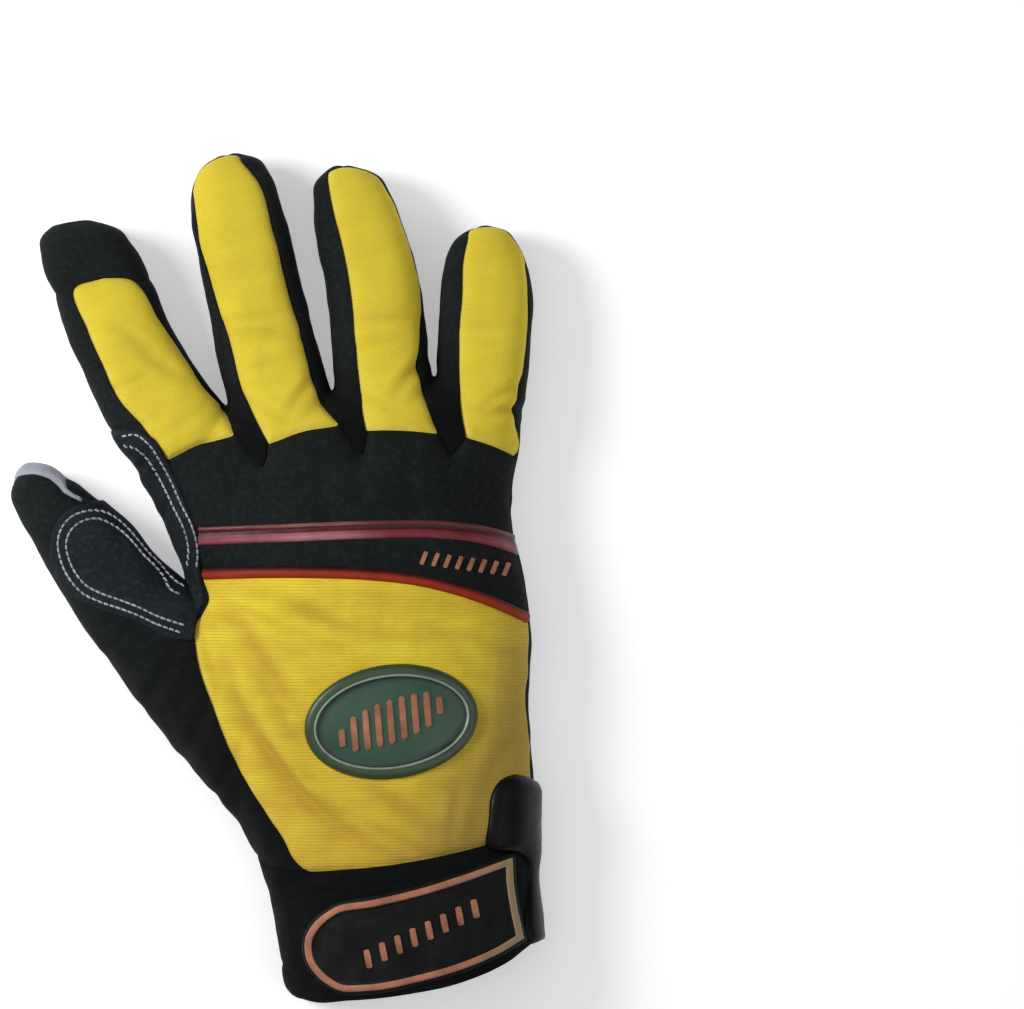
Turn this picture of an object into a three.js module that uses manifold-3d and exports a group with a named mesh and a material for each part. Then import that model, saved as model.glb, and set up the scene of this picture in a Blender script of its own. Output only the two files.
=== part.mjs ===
// Mechanic's glove for the right hand, filled out as a hand fills it and lying palm down.
// Millimetres. X runs across the hand with the thumb on the low side, Y towards the fingertips, Z up.

import * as THREE from 'three';
import { mergeVertices } from 'three/addons/utils/BufferGeometryUtils.js';
import Module from 'manifold-3d';

const wasm = await Module();
wasm.setup();

// Driving dimensions
const wallThickness = 1.6;
const seamGap = 0.3;
const dotRelief = 1.2;
const palmHeight = dotRelief;
const equatorHeight = 12;
const seamOffEquator = 3.5;
const cuffBackSeam = -63.8;
const cuffPalmSeam = -52;
const cuffSeamTop = 34.5;
const thumbLean = THREE.MathUtils.degToRad(31.5);
const handSides = 20;
const fingerSides = 10;
const cavityCoarseness = 0.7;
const domeExponent = 2.25;
const palmExponent = 3.2;
const leastSize = 0.4;

// Heights of the trim over the cloth
const pipingRelief = 0.9;
const tapeRelief = 1.0;
const patchRelief = 1.2;
const tabRelief = 2.0;
const strapRelief = 2;
const trimRelief = 3;
const badgeRelief = 2.2;
const badgeRimRelief = 2.9;

// Sizes of the trim
const pipingWidth = 1.8;
const tapeWidth = 5;
const strapBorder = 1.2;
const strapTrimWidth = 1.9;
const badge = { x: -1.5, y: -23.5, halfLength: 25, halfWidth: 16.5, rim: 2.6, sides: 16 };
const tipPadLength = 23;
const thumbPadLength = 30;
const padNeckFrom = 0.8;
const padNotch = 0.8;
const padRoundSteps = 8;
const largeDot = { halfWidth: 3, halfLength: 3.6, sides: 6 };
const pipingSteps = 10;
const tapeSteps = 8;

// Reach of the cutting tools past the glove
const below = -5;
const beyond = 60;
const pastThumb = -130;
const pastLittleFinger = 80;
const pastTips = 150;
const pastCuff = -130;
const tipToolLength = 30;
const tipOverrun = 5;
const restBlock = { side: 400, height: 100 };

const seamTop = equatorHeight + seamOffEquator;
const seamPalm = equatorHeight - seamOffEquator;

// Hollow forms, one row for each section: its two edges seen from above, how far the back rises
// above the widest line, and how far the palm side drops below it
const hand = {
  lean: 0,
  sides: handSides,
  rows: [
    { y: -112, left: -42, right: 31.5, rise: 21.6, drop: 12 },
    { y: -92, left: -42.2, right: 31.5, rise: 22.2, drop: 12 },
    { y: -74, left: -42.8, right: 32.6, rise: 22.6, drop: 12 },
    { y: -60, left: -44.5, right: 34.8, rise: 22.8, drop: 12 },
    { y: -46, left: -49.2, right: 36.8, rise: 24.2, drop: 12 },
    { y: -24, left: -56, right: 38.2, rise: 25.4, drop: 12 },
    { y: -4, left: -59.5, right: 42, rise: 25.6, drop: 12 },
    { y: 12, left: -58.6, right: 42.2, rise: 25.2, drop: 12 },
    { y: 26, left: -56, right: 41, rise: 24.4, drop: 12 },
    { y: 38, left: -57.6, right: 42.2, rise: 23.2, drop: 12 },
    { y: 50, left: -60.5, right: 46.2, rise: 21.4, drop: 12 },
    { y: 61, left: -64, right: 47.5, rise: 18.8, drop: 11.6 },
    { y: 68, left: -63.5, right: 47.6, rise: 15.4, drop: 11 },
    { y: 73, left: -58, right: 43, rise: 8, drop: 8 },
  ],
};
const indexFinger = {
  lean: 0,
  sides: fingerSides,
  rows: [
    { y: 57, left: -60.5, right: -34, rise: 13.4, drop: 10.6 },
    { y: 66, left: -67.6, right: -34, rise: 15.8, drop: 11.2 },
    { y: 73, left: -70.5, right: -35.5, rise: 14.6, drop: 11.2 },
    { y: 84, left: -74, right: -42.3, rise: 13, drop: 11.2 },
    { y: 98, left: -78.1, right: -49, rise: 12, drop: 11.2 },
    { y: 112, left: -80.9, right: -52.7, rise: 11.2, drop: 11.2 },
    { y: 124, left: -83, right: -56.4, rise: 9.8, drop: 10.5 },
    { y: 130, left: -81.8, right: -60.6, rise: 7.4, drop: 8.6 },
    { y: 133, left: -77.5, right: -68, rise: 3.4, drop: 4 },
  ],
};
const middleFinger = {
  lean: 0,
  sides: fingerSides,
  rows: [
    { y: 57, left: -33, right: -5, rise: 17.2, drop: 10.6 },
    { y: 66, left: -35, right: -4.6, rise: 17, drop: 11.2 },
    { y: 74, left: -35.6, right: -5, rise: 15.4, drop: 11.2 },
    { y: 85, left: -36.3, right: -6.9, rise: 13.6, drop: 11.2 },
    { y: 102, left: -37.1, right: -9.6, rise: 12.2, drop: 11.2 },
    { y: 120, left: -38.2, right: -11.2, rise: 11.3, drop: 11.2 },
    { y: 132, left: -38, right: -12.9, rise: 10.3, drop: 10.8 },
    { y: 139.5, left: -35.3, right: -15.4, rise: 8.4, drop: 9.4 },
    { y: 144, left: -31, right: -19.2, rise: 5.6, drop: 6.6 },
    { y: 145.6, left: -27.6, right: -23, rise: 2.4, drop: 3 },
  ],
};
const ringFinger = {
  lean: 0,
  sides: fingerSides,
  rows: [
    { y: 57, left: -3, right: 23, rise: 16.4, drop: 10.6 },
    { y: 66, left: -4.6, right: 24.2, rise: 16.2, drop: 11.2 },
    { y: 74, left: -4.8, right: 24.2, rise: 14.8, drop: 11.2 },
    { y: 86, left: -3.7, right: 24.5, rise: 13.2, drop: 11.2 },
    { y: 102, left: -2.5, right: 24.3, rise: 12, drop: 11.2 },
    { y: 117, left: -3.1, right: 22, rise: 11, drop: 10.9 },
    { y: 128, left: -2.6, right: 19.1, rise: 9.4, drop: 10.2 },
    { y: 134.6, left: -0.9, right: 15.2, rise: 7, drop: 8 },
    { y: 138, left: 4, right: 8.2, rise: 2.6, drop: 3.2 },
  ],
};
const littleFinger = {
  lean: 0,
  sides: fingerSides,
  rows: [
    { y: 52, left: 26, right: 44.6, rise: 12, drop: 10.6 },
    { y: 61, left: 24.6, right: 48.8, rise: 14, drop: 11.2 },
    { y: 70, left: 24.8, right: 51.2, rise: 13.4, drop: 11.2 },
    { y: 80, left: 26.2, right: 53, rise: 12.4, drop: 11.2 },
    { y: 92, left: 29, right: 54.7, rise: 11.4, drop: 11.2 },
    { y: 102, left: 31.6, right: 54.5, rise: 10.4, drop: 10.6 },
    { y: 109, left: 34.4, right: 52.6, rise: 8.9, drop: 9.7 },
    { y: 113.4, left: 38.6, right: 49.2, rise: 6, drop: 6.9 },
    { y: 115, left: 42.6, right: 46, rise: 2.4, drop: 2.9 },
  ],
};
const thumb = {
  lean: thumbLean,
  sides: fingerSides,
  rows: [
    { y: -16, left: -66, right: -36, rise: 12, drop: 11.2 },
    { y: 2, left: -66.4, right: -31, rise: 17.2, drop: 11.2 },
    { y: 24, left: -66.6, right: -31, rise: 17.2, drop: 11.2 },
    { y: 44, left: -65.5, right: -32.8, rise: 15.6, drop: 11.2 },
    { y: 60, left: -64.6, right: -34.5, rise: 14, drop: 11.2 },
    { y: 74, left: -62.8, right: -35.6, rise: 12.8, drop: 11.2 },
    { y: 86, left: -60.6, right: -38.8, rise: 11.6, drop: 11.2 },
    { y: 96, left: -58.5, right: -41.5, rise: 9.9, drop: 10.3 },
    { y: 102, left: -56.3, right: -44, rise: 7.4, drop: 8.2 },
    { y: 105.3, left: -51.8, right: -48, rise: 2.5, drop: 3 },
  ],
};
const forms = [hand, indexFinger, middleFinger, ringFinger, littleFinger, thumb];
const tipLength = 14;

// Soft dents in the back, one row for each: place of the middle, reach each way, and depth
const dents = [
  { x: -30, y: 57, reachAcross: 5, reachAlong: 11, depth: 2.4 },
  { x: 0, y: 58, reachAcross: 5, reachAlong: 11, depth: 2.4 },
  { x: 26, y: 55, reachAcross: 5, reachAlong: 11, depth: 2.2 },
  { x: -42, y: 12, reachAcross: 8, reachAlong: 24, depth: 1.6 },
  { x: -22, y: -44, reachAcross: 9, reachAlong: 22, depth: 1.2 },
  { x: 20, y: -38, reachAcross: 8, reachAlong: 26, depth: 1.4 },
  { x: -5, y: -66, reachAcross: 60, reachAlong: 6, depth: 1.2 },
  { x: -53, y: 88, reachAcross: 9, reachAlong: 5, depth: 1.3 },
  { x: -21, y: 92, reachAcross: 16, reachAlong: 4, depth: 0.9 },
  { x: 12, y: 90, reachAcross: 16, reachAlong: 4, depth: 0.9 },
];

// Yellow finger backs, one row for each height: the two seams seen from above. The root is the seam
// to the knuckle band, and the tip is where the knit runs down over the end of the finger.
const indexBack = {
  root: [{ x: -55, y: 60 }, { x: -46, y: 63.2 }, { x: -35, y: 65 }],
  rows: [
    { y: 72, left: -61.5, right: -36.4 },
    { y: 80, left: -67, right: -41.6 },
    { y: 90, left: -70, right: -46.2 },
    { y: 101, left: -73.2, right: -51.2 },
    { y: 113.5, left: -75, right: -57.6 },
  ],
  end: [{ x: -66, y: 115.2 }],
};
const middleBack = {
  root: [{ x: -25.5, y: 61 }, { x: -15, y: 63.3 }, { x: -4.2, y: 63.6 }],
  rows: [
    { y: 70, left: -28.8, right: -8 },
    { y: 78, left: -31.4, right: -9.8 },
    { y: 90, left: -32.2, right: -11.3 },
    { y: 105, left: -34.9, right: -13.4 },
    { y: 122, left: -36.8, right: -15.3 },
    { y: 136, left: -36.4, right: -17.3 },
  ],
  end: [{ x: -36, y: 141 }, { x: -33, y: 150 }, { x: -21.8, y: 150 }, { x: -21.8, y: 144 }],
  tip: { from: 139.5, low: -45, high: -21.8 },
};
const ringBack = {
  root: [{ x: 3, y: 61 }, { x: 13, y: 59.8 }, { x: 24, y: 57.2 }],
  rows: [
    { y: 66, left: 2.7, right: 21.4 },
    { y: 76, left: 2.9, right: 20.2 },
    { y: 86, left: 3.2, right: 22 },
    { y: 98, left: 3.9, right: 23.4 },
    { y: 112, left: 3.9, right: 21.6 },
    { y: 126, left: 2.2, right: 18.3 },
  ],
  end: [{ x: 1.2, y: 134 }, { x: 3, y: 145 }, { x: 19, y: 145 }, { x: 19, y: 133 }],
  tip: { from: 134, low: 3, high: 30 },
};
const littleBack = {
  root: [{ x: 31.5, y: 55 }, { x: 39, y: 51.4 }, { x: 45.6, y: 47 }],
  rows: [
    { y: 61, left: 31.2, right: 46.4 },
    { y: 72, left: 31.6, right: 50.2 },
    { y: 84, left: 33.2, right: 52.2 },
    { y: 96, left: 35.8, right: 53.4 },
    { y: 106, left: 37.6, right: 52.2 },
  ],
  end: [{ x: 40.2, y: 113 }, { x: 40.2, y: 122 }, { x: 54, y: 122 }, { x: 54, y: 109 }],
  tip: { from: 110, low: 40.2, high: 60 },
};

// Lines of the knuckle band and what runs along it, from the index side to the little-finger side
const pipingLine = [
  { x: -49.8, y: 26 }, { x: -30, y: 23.7 }, { x: -10, y: 20 }, { x: 10, y: 15 },
  { x: 30, y: 6.5 }, { x: 48, y: -5 },
];
const tapeLine = [
  { x: -48.6, y: 37.4 }, { x: -25, y: 34.8 }, { x: 0, y: 32.2 }, { x: 20, y: 29.4 },
  { x: 32, y: 26.2 }, { x: 44, y: 20.5 },
];
const bandDarts = [
  { x: -56, y: 60 }, { x: -50, y: 72 }, { x: -37, y: 67 }, { x: -34, y: 65 },
  { x: -28.4, y: 54.5 }, { x: -26, y: 61 }, { x: -15, y: 68 }, { x: -6, y: 66 }, { x: -4, y: 63.4 },
  { x: 0.8, y: 55.8 }, { x: 3.2, y: 61 }, { x: 12, y: 66 }, { x: 22, y: 61 }, { x: 24, y: 57 },
  { x: 26.6, y: 52.8 }, { x: 31.6, y: 55 }, { x: 40, y: 58 }, { x: 45.7, y: 46.8 }, { x: 62, y: 45 },
];
const bandThumbEdge = [{ x: -51.2, y: 42 }, { x: -53.2, y: 50 }];

// Edge of the yellow back next to the thumb, and where it ends at the cuff
const backThumbEdge = [
  { x: -50.2, y: 24.4 }, { x: -49.2, y: 19.4 }, { x: -53.6, y: 11.6 }, { x: -54.4, y: 2 },
  { x: -52, y: -12 }, { x: -47.6, y: -30 }, { x: -41, y: -46 }, { x: -35.4, y: -58.5 },
  { x: -33, y: -75 },
];
const cuffSeamSag = [{ x: -60, sag: 4 }, { x: -33, sag: 2.6 }, { x: -20, sag: 0.4 },
  { x: -5, sag: 0 }, { x: 10, sag: 0.6 }, { x: 22, sag: 1.8 }, { x: 50, sag: 4 }];

// Free edge of the cuff, from the thumb side
const cuffEdge = [
  { x: -60, y: -94 }, { x: -43, y: -94.4 }, { x: -41, y: -98 }, { x: -37, y: -100.6 },
  { x: -24, y: -102.5 }, { x: -8, y: -103 }, { x: 8, y: -101.8 }, { x: 22, y: -97.8 },
  { x: 32, y: -92.2 }, { x: 50, y: -91 },
];

// Reinforcement in the crotch of the thumb: a lobe on the thumb and one up the index finger
const patchOutline = [
  { x: -54.6, y: 9 }, { x: -60, y: 9.6 }, { x: -70, y: 16 }, { x: -80, y: 21.3 },
  { x: -87, y: 26 }, { x: -90.6, y: 32 }, { x: -91.4, y: 39.5 }, { x: -89.3, y: 45.8 },
  { x: -85, y: 49.6 }, { x: -79, y: 50.6 }, { x: -74, y: 51 }, { x: -73, y: 70.2 },
  { x: -63, y: 70.2 }, { x: -58.6, y: 66.4 }, { x: -55.2, y: 59.4 }, { x: -52.4, y: 49.5 },
  { x: -50.4, y: 40 }, { x: -50.2, y: 28 }, { x: -50.6, y: 24 }, { x: -49.8, y: 19.2 },
  { x: -54, y: 12 },
];

// Grey front of the thumb: its outer seam along the thumb, its seam to the palm, and the crescent
// that shows from above
const thumbFrontSeam = [
  { y: 112, left: -64 }, { y: 103, left: -58.5 }, { y: 95, left: -54.5 }, { y: 84, left: -53.5 },
  { y: 66, left: -55.5 }, { y: 44, left: -57.4 }, { y: 20, left: -58.5 }, { y: -4, left: -57.6 },
];
const thumbPalmSeam = [
  { x: -36, y: -70 }, { x: -26, y: -70 }, { x: -24.4, y: -40 }, { x: -25, y: -16 }, { x: -28, y: -1 },
  { x: -34, y: 9 }, { x: -42, y: 16 }, { x: -52, y: 22.5 }, { x: -64, y: 42 }, { x: -74, y: 56 },
  { x: -82, y: 74 },
];
const thumbCrescent = [
  { x: -108, y: 62.5 }, { x: -98, y: 61.6 }, { x: -94.6, y: 61.9 }, { x: -91, y: 60.4 },
  { x: -87, y: 57 }, { x: -84, y: 54.2 }, { x: -80.6, y: 53 }, { x: -74, y: 54 },
  { x: -84, y: 76 }, { x: -108, y: 76 },
];
const palmInset = 2.6;
const palmRootHeight = 56.5;
const palmRootOverlap = 4;
const palmIndexEdge = [
  { x: 44.4, y: palmRootHeight }, { x: -60, y: palmRootHeight }, { x: -57, y: 48 },
  { x: -54.4, y: 36 }, { x: -53.4, y: 30 }, { x: -54, y: 25 },
];

// Cap over the tip of the index finger
const capOutline = [
  { x: -95, y: 114 }, { x: -75, y: 113.6 }, { x: -66, y: 115.4 }, { x: -57.8, y: 113.8 },
  { x: -45, y: 113.8 }, { x: -45, y: 140 }, { x: -95, y: 140 },
];

// Lines between which the black side strips lie: one in the crotch of the thumb, and one along the
// middle of each finger
const crotchLine = [
  { x: -47, y: 26 }, { x: -56, y: 26 }, { x: -66, y: 46 }, { x: -77, y: 62 }, { x: -88, y: 82 },
];
const indexMiddle = [
  { x: -47, y: 45 }, { x: -53, y: 73 }, { x: -60, y: 90 }, { x: -66, y: 110 }, { x: -70, y: pastTips },
];
const middleMiddle = [
  { x: -18, y: 45 }, { x: -20.5, y: 78 }, { x: -24, y: 112 }, { x: -26, y: pastTips },
];
const ringMiddle = [
  { x: 9, y: 45 }, { x: 10.3, y: 85 }, { x: 10.5, y: 105 }, { x: 6, y: pastTips },
];
const littleMiddle = [
  { x: 34, y: 42 }, { x: 38, y: 70 }, { x: 41.5, y: 90 }, { x: 44.3, y: pastTips },
];

// Moulded strap end and the tab beside it
const strapOutline = [
  { x: 27.6, y: -68 }, { x: 14, y: -71.2 }, { x: 0, y: -73.6 }, { x: -14, y: -74.3 },
  { x: -26, y: -74.6 }, { x: -31.4, y: -77.6 }, { x: -34.9, y: -82.6 }, { x: -35.5, y: -87.4 },
  { x: -33, y: -93.6 }, { x: -27.6, y: -98.6 }, { x: -19, y: -99.8 }, { x: -4, y: -99.3 },
  { x: 10, y: -97.3 }, { x: 21, y: -94.2 }, { x: 27.4, y: -90.6 }, { x: 26.4, y: -79 },
];
const tabOutline = [
  { x: 29.6, y: -93.4 }, { x: 29.6, y: -66.6 }, { x: 22, y: -63.6 }, { x: 23.4, y: -54.6 },
  { x: 25.2, y: -48.2 }, { x: 27.6, y: -44.8 }, { x: 31, y: -43.6 }, { x: 34.4, y: -44.6 },
  { x: 40, y: -50 }, { x: 42, y: -93.4 },
];

// Rubber pads under the tips, one row for each: outer end, and half widths at the end and the neck
const tipPads = [
  { name: 'tip_pad_index', x: -66.5, y: 129, lean: 8, halfWidth: 6.4, neck: 4.2 },
  { name: 'tip_pad_middle', x: -25, y: 141.5, lean: -1, halfWidth: 6.6, neck: 4.2 },
  { name: 'tip_pad_ring', x: 7.6, y: 133.5, lean: -5, halfWidth: 6.2, neck: 4 },
  { name: 'tip_pad_little', x: 43.8, y: 110.8, lean: -3, halfWidth: 5.6, neck: 3.8 },
];
const thumbPad = { name: 'thumb_pad', x: -90, y: 55.4, lean: 31, halfWidth: 6.6, neck: 5.6 };

// Large rubber dots on the flat of the palm, one row for each line of dots across it
const dotRows = [
  { y: 33, first: -36, last: 18, count: 7 },
  { y: 24.5, first: -32, last: 22, count: 7 },
  { y: 16, first: -10, last: 17, count: 4 },
  { y: 7.5, first: -14, last: 22, count: 5 },
  { y: -15, first: 8, last: 17, count: 2 },
  { y: -23.5, first: -5, last: 22, count: 4 },
  { y: -32, first: 8, last: 17, count: 2 },
  { y: -40.5, first: 4, last: 22, count: 3 },
];

// Materials
function finish(color, roughness, metalness = 0) {
  return new THREE.MeshStandardMaterial({ color, roughness, metalness });
}
const blackCloth = finish(0x1d2123, 0.85);
const blackNeoprene = finish(0x202427, 0.75);
const yellowKnit = finish(0xe4d03c, 0.85);
const greySuede = finish(0xa5a8b2, 0.9);
const blackRubber = finish(0x23262a, 0.4);
const redPiping = finish(0xaa2d19, 0.6);
const reflectiveFilm = finish(0x963c46, 0.35);
const orangeTrim = finish(0xb97355, 0.55);
const greenMoulding = finish(0x2d553c, 0.45);

// Closed mesh to solid, and back
function solidOf(geometry) {
  const bare = geometry.clone();
  bare.deleteAttribute('normal');
  bare.deleteAttribute('uv');
  const merged = mergeVertices(bare, 1e-4);
  return new wasm.Manifold(new wasm.Mesh({
    numProp: 3,
    vertProperties: new Float32Array(merged.attributes.position.array),
    triVerts: new Uint32Array(merged.index.array),
  }));
}

function meshOf(name, solid, material) {
  const { vertProperties, triVerts } = solid.getMesh();
  const geometry = new THREE.BufferGeometry();
  geometry.setAttribute('position', new THREE.BufferAttribute(new Float32Array(vertProperties), 3));
  geometry.setIndex(new THREE.BufferAttribute(new Uint32Array(triVerts), 1));
  geometry.computeVertexNormals();
  const mesh = new THREE.Mesh(geometry, material);
  mesh.name = name;
  return mesh;
}

function joined(solids) {
  return solids.reduce((sum, solid) => sum.add(solid));
}

// Place on a form, from its distance along and across
function placeOn(form, along, across) {
  const cos = Math.cos(form.lean);
  const sin = Math.sin(form.lean);
  return { x: across * cos - along * sin, y: across * sin + along * cos };
}

function dentAt(x, y) {
  let depth = 0;
  for (const dent of dents) {
    const across = (x - dent.x) / dent.reachAcross;
    const along = (y - dent.y) / dent.reachAlong;
    depth += dent.depth * Math.exp(-(across * across + along * along));
  }
  return depth;
}

// One closed section of a form: a dome above the widest line and a flatter curve below it
function sectionOf(form, sides, row, along, growth) {
  const middle = (row.left + row.right) / 2;
  const half = Math.max((row.right - row.left) / 2 + growth, leastSize);
  const rise = Math.max(row.rise + growth, leastSize);
  const drop = Math.max(row.drop + growth, leastSize);
  const ring = [];
  for (let i = 0; i < sides; i += 1) {
    const angle = (2 * Math.PI * i) / sides;
    const cos = Math.cos(angle);
    const sin = Math.sin(angle);
    const exponent = sin > 0 ? domeExponent : palmExponent;
    const across = Math.sign(cos) * Math.abs(cos) ** (2 / exponent);
    const up = Math.sign(sin) * Math.abs(sin) ** (2 / exponent);
    const place = placeOn(form, along, middle + half * across);
    const dent = up > 0 ? up * dentAt(place.x, place.y) : 0;
    ring.push(place.x, place.y, equatorHeight + (up > 0 ? rise : drop) * up - dent);
  }
  return ring;
}

// Loft of a form through its sections, grown outwards or shrunk inwards, with its tip moved too.
// The hollow has fewer sides than the outside.
function loftOf(form, growth) {
  const last = form.rows.at(-1).y;
  const count = growth < 0 ? 2 * Math.round((form.sides * cavityCoarseness) / 2) : form.sides;
  const positions = [];
  for (const row of form.rows) {
    const share = Math.max(0, 1 - (last - row.y) / tipLength);
    positions.push(...sectionOf(form, count, row, row.y + growth * share, growth));
  }
  const rings = form.rows.length;
  const indices = [];
  for (let r = 0; r + 1 < rings; r += 1) {
    for (let i = 0; i < count; i += 1) {
      const a = r * count + i;
      const b = r * count + ((i + 1) % count);
      indices.push(a, a + count, b, b, a + count, b + count);
    }
  }
  for (let i = 1; i + 1 < count; i += 1) {
    const end = (rings - 1) * count;
    indices.push(0, i, i + 1);
    indices.push(end, end + i + 1, end + i);
  }
  const geometry = new THREE.BufferGeometry();
  geometry.setAttribute('position', new THREE.Float32BufferAttribute(positions, 3));
  geometry.setIndex(indices);
  return solidOf(geometry);
}

// Whole glove as one solid, flattened underneath where it rests
const grownForms = new Map();
function gloveForm(growth) {
  if (!grownForms.has(growth)) {
    const block = new THREE.BoxGeometry(restBlock.side, restBlock.side, restBlock.height);
    block.translate(0, 0, restBlock.height / 2 + palmHeight - growth);
    const whole = joined(forms.map((form) => loftOf(form, growth)));
    grownForms.set(growth, whole.intersect(solidOf(block)));
  }
  return grownForms.get(growth);
}

// Layer that follows the cloth, between two heights over it
function layer(inner, outer) {
  return gloveForm(outer).subtract(gloveForm(inner));
}

// Outline moved outwards by a distance, its corners kept
function grownOutline(points, distance) {
  const vectors = points.map((point) => new THREE.Vector2(point.x, point.y));
  const turn = THREE.ShapeUtils.area(vectors) > 0 ? 1 : -1;
  const count = vectors.length;
  return vectors.map((point, i) => {
    const before = point.clone().sub(vectors[(i + count - 1) % count]).normalize();
    const after = vectors[(i + 1) % count].clone().sub(point).normalize();
    const normal = new THREE.Vector2(before.y + after.y, -before.x - after.x).normalize();
    const stretch = Math.max(normal.x * after.y - normal.y * after.x, leastSize);
    return point.clone().addScaledVector(normal, (turn * distance) / stretch);
  });
}

// Upright prism on an outline, between two heights, grown on all sides
function prism(points, low, high, growth = 0) {
  const shape = new THREE.Shape(grownOutline(points, growth));
  const depth = high - low + 2 * growth;
  const geometry = new THREE.ExtrudeGeometry(shape, { depth, bevelEnabled: false });
  geometry.translate(0, 0, low - growth);
  return solidOf(geometry);
}

function smoothLine(points, steps) {
  return new THREE.SplineCurve(points.map((point) => new THREE.Vector2(point.x, point.y)))
    .getSpacedPoints(steps);
}

// Outline of a strip along a line
function stripOutline(line, width, steps) {
  const curve = smoothLine(line, steps);
  const sides = [width / 2, -width / 2].map((offset) => curve.map((point, i) => {
    const before = curve[Math.max(i - 1, 0)];
    const after = curve[Math.min(i + 1, steps)];
    const along = after.clone().sub(before).normalize();
    return new THREE.Vector2(point.x - along.y * offset, point.y + along.x * offset);
  }));
  return [...sides[0], ...sides[1].reverse()];
}

// Outline of a yellow finger back, and its cutting tool
function fingerBackTool(back, growth) {
  const left = back.rows.map((row) => ({ x: row.left, y: row.y }));
  const right = back.rows.map((row) => ({ x: row.right, y: row.y })).reverse();
  const [rootLeft, rootMiddle, rootRight] = back.root;
  const outline = [rootMiddle, rootLeft, ...left, ...back.end, ...right, rootRight];
  const main = prism(outline, seamTop, beyond, growth);
  if (!back.tip) {
    return main;
  }
  const { from, low, high } = back.tip;
  const tipOutline = [
    { x: low, y: from }, { x: high, y: from },
    { x: high, y: from + tipToolLength }, { x: low, y: from + tipToolLength },
  ];
  return main.add(prism(tipOutline, seamPalm + seamGap, beyond, growth));
}

// Outline of a finger seen from above, drawn in at its sides and run past its tip
function fingerFrontOutline(finger) {
  const rows = finger.rows.slice(1, -3);
  const last = finger.rows.at(-1);
  const root = { left: rows[0].left, right: rows[0].right, y: palmRootHeight - palmRootOverlap };
  const left = [root, ...rows].map((row) => ({ x: row.left + palmInset, y: row.y }));
  const right = [root, ...rows].map((row) => ({ x: row.right - palmInset, y: row.y })).reverse();
  const end = [
    { x: left.at(-1).x, y: last.y + tipOverrun }, { x: right[0].x, y: last.y + tipOverrun },
  ];
  return [...left, ...end, ...right];
}

function ellipseOutline(x, y, halfWidth, halfLength, sides) {
  const points = [];
  for (let i = 0; i < sides; i += 1) {
    const angle = (2 * Math.PI * i) / sides;
    points.push({ x: x + halfWidth * Math.cos(angle), y: y + halfLength * Math.sin(angle) });
  }
  return points;
}

// Outline of a tip pad: a round end that narrows to a neck, turned with the finger
function padOutline(pad, length) {
  const lean = THREE.MathUtils.degToRad(pad.lean);
  const points = [];
  for (let i = 0; i <= padRoundSteps; i += 1) {
    const angle = (Math.PI * i) / padRoundSteps;
    const back = pad.halfWidth * (1 - Math.sin(angle));
    points.push({ across: pad.halfWidth * Math.cos(angle), back });
  }
  points.push({ across: -pad.neck, back: length * padNeckFrom });
  points.push({ across: -pad.neck * padNotch, back: length });
  points.push({ across: pad.neck * padNotch, back: length });
  points.push({ across: pad.neck, back: length * padNeckFrom });
  return points.map(({ across, back }) => ({
    x: pad.x + across * Math.cos(lean) + back * Math.sin(lean),
    y: pad.y + across * Math.sin(lean) - back * Math.cos(lean),
  }));
}

// Cutting tool for the cuff: its seam is higher on the palm than on the back
function cuffTool(growth) {
  const seam = cuffSeamSag.map(({ x, sag }) => ({ x, y: cuffBackSeam + sag }));
  const outline = [{ x: -60, y: pastCuff }, ...seam, { x: 50, y: pastCuff }];
  const slope = (cuffPalmSeam - cuffBackSeam) / (cuffSeamTop - palmHeight);
  const shape = new THREE.Shape(grownOutline(outline, growth));
  const geometry = new THREE.ExtrudeGeometry(shape, { depth: beyond - below, bevelEnabled: false });
  geometry.translate(0, 0, below);
  geometry.applyMatrix4(new THREE.Matrix4().makeShear(0, 0, 0, 0, 0, -slope));
  geometry.translate(0, slope * cuffSeamTop, 0);
  return solidOf(geometry);
}

// Wall of cloth, open at the cuff
const openEnd = prism([...cuffEdge, { x: 50, y: pastCuff }, { x: -60, y: pastCuff }], below, beyond);
const cavity = gloveForm(-wallThickness);
const wall = gloveForm(0).subtract(cavity).subtract(openEnd);

const group = new THREE.Group();
let rest = wall;

// Cuts a panel out of what is left of the wall
function takePanel(name, tool, material, extra) {
  const panel = rest.intersect(tool(0));
  rest = rest.subtract(tool(seamGap));
  group.add(meshOf(name, extra ? extra(panel) : panel, material));
}

takePanel('cuff', cuffTool, blackNeoprene);

const pipingOutline = stripOutline(pipingLine, pipingWidth, pipingSteps);
const pipingTool = (growth) => prism(pipingOutline, seamTop, beyond, growth);
const piping = layer(-wallThickness, pipingRelief).intersect(pipingTool(0));
rest = rest.subtract(pipingTool(seamGap));
group.add(meshOf('knuckle_piping', piping, redPiping));

const fingerBacks = { index: indexBack, middle: middleBack, ring: ringBack, little: littleBack };
for (const [finger, back] of Object.entries(fingerBacks)) {
  takePanel(`finger_back_${finger}`, (growth) => fingerBackTool(back, growth), yellowKnit);
}

const pipingRun = smoothLine(pipingLine, pipingSteps);
const bandOutline = [
  ...bandDarts, { x: 62, y: -10 }, ...[...pipingRun].reverse(), ...bandThumbEdge,
];
const bandTool = (growth) => prism(bandOutline, seamTop, beyond, growth);
takePanel('knuckle_band', bandTool, blackNeoprene);

const backOutline = [
  ...pipingRun, { x: 62, y: -10 }, { x: 62, y: -75 }, ...[...backThumbEdge].reverse(),
];
const backTool = (growth) => prism(backOutline, seamTop, beyond, growth);
takePanel('back_panel', backTool, yellowKnit);

const capTool = (growth) => prism(capOutline, seamPalm + seamGap, beyond, growth);
takePanel('index_tip_cap', capTool, blackNeoprene);

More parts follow.
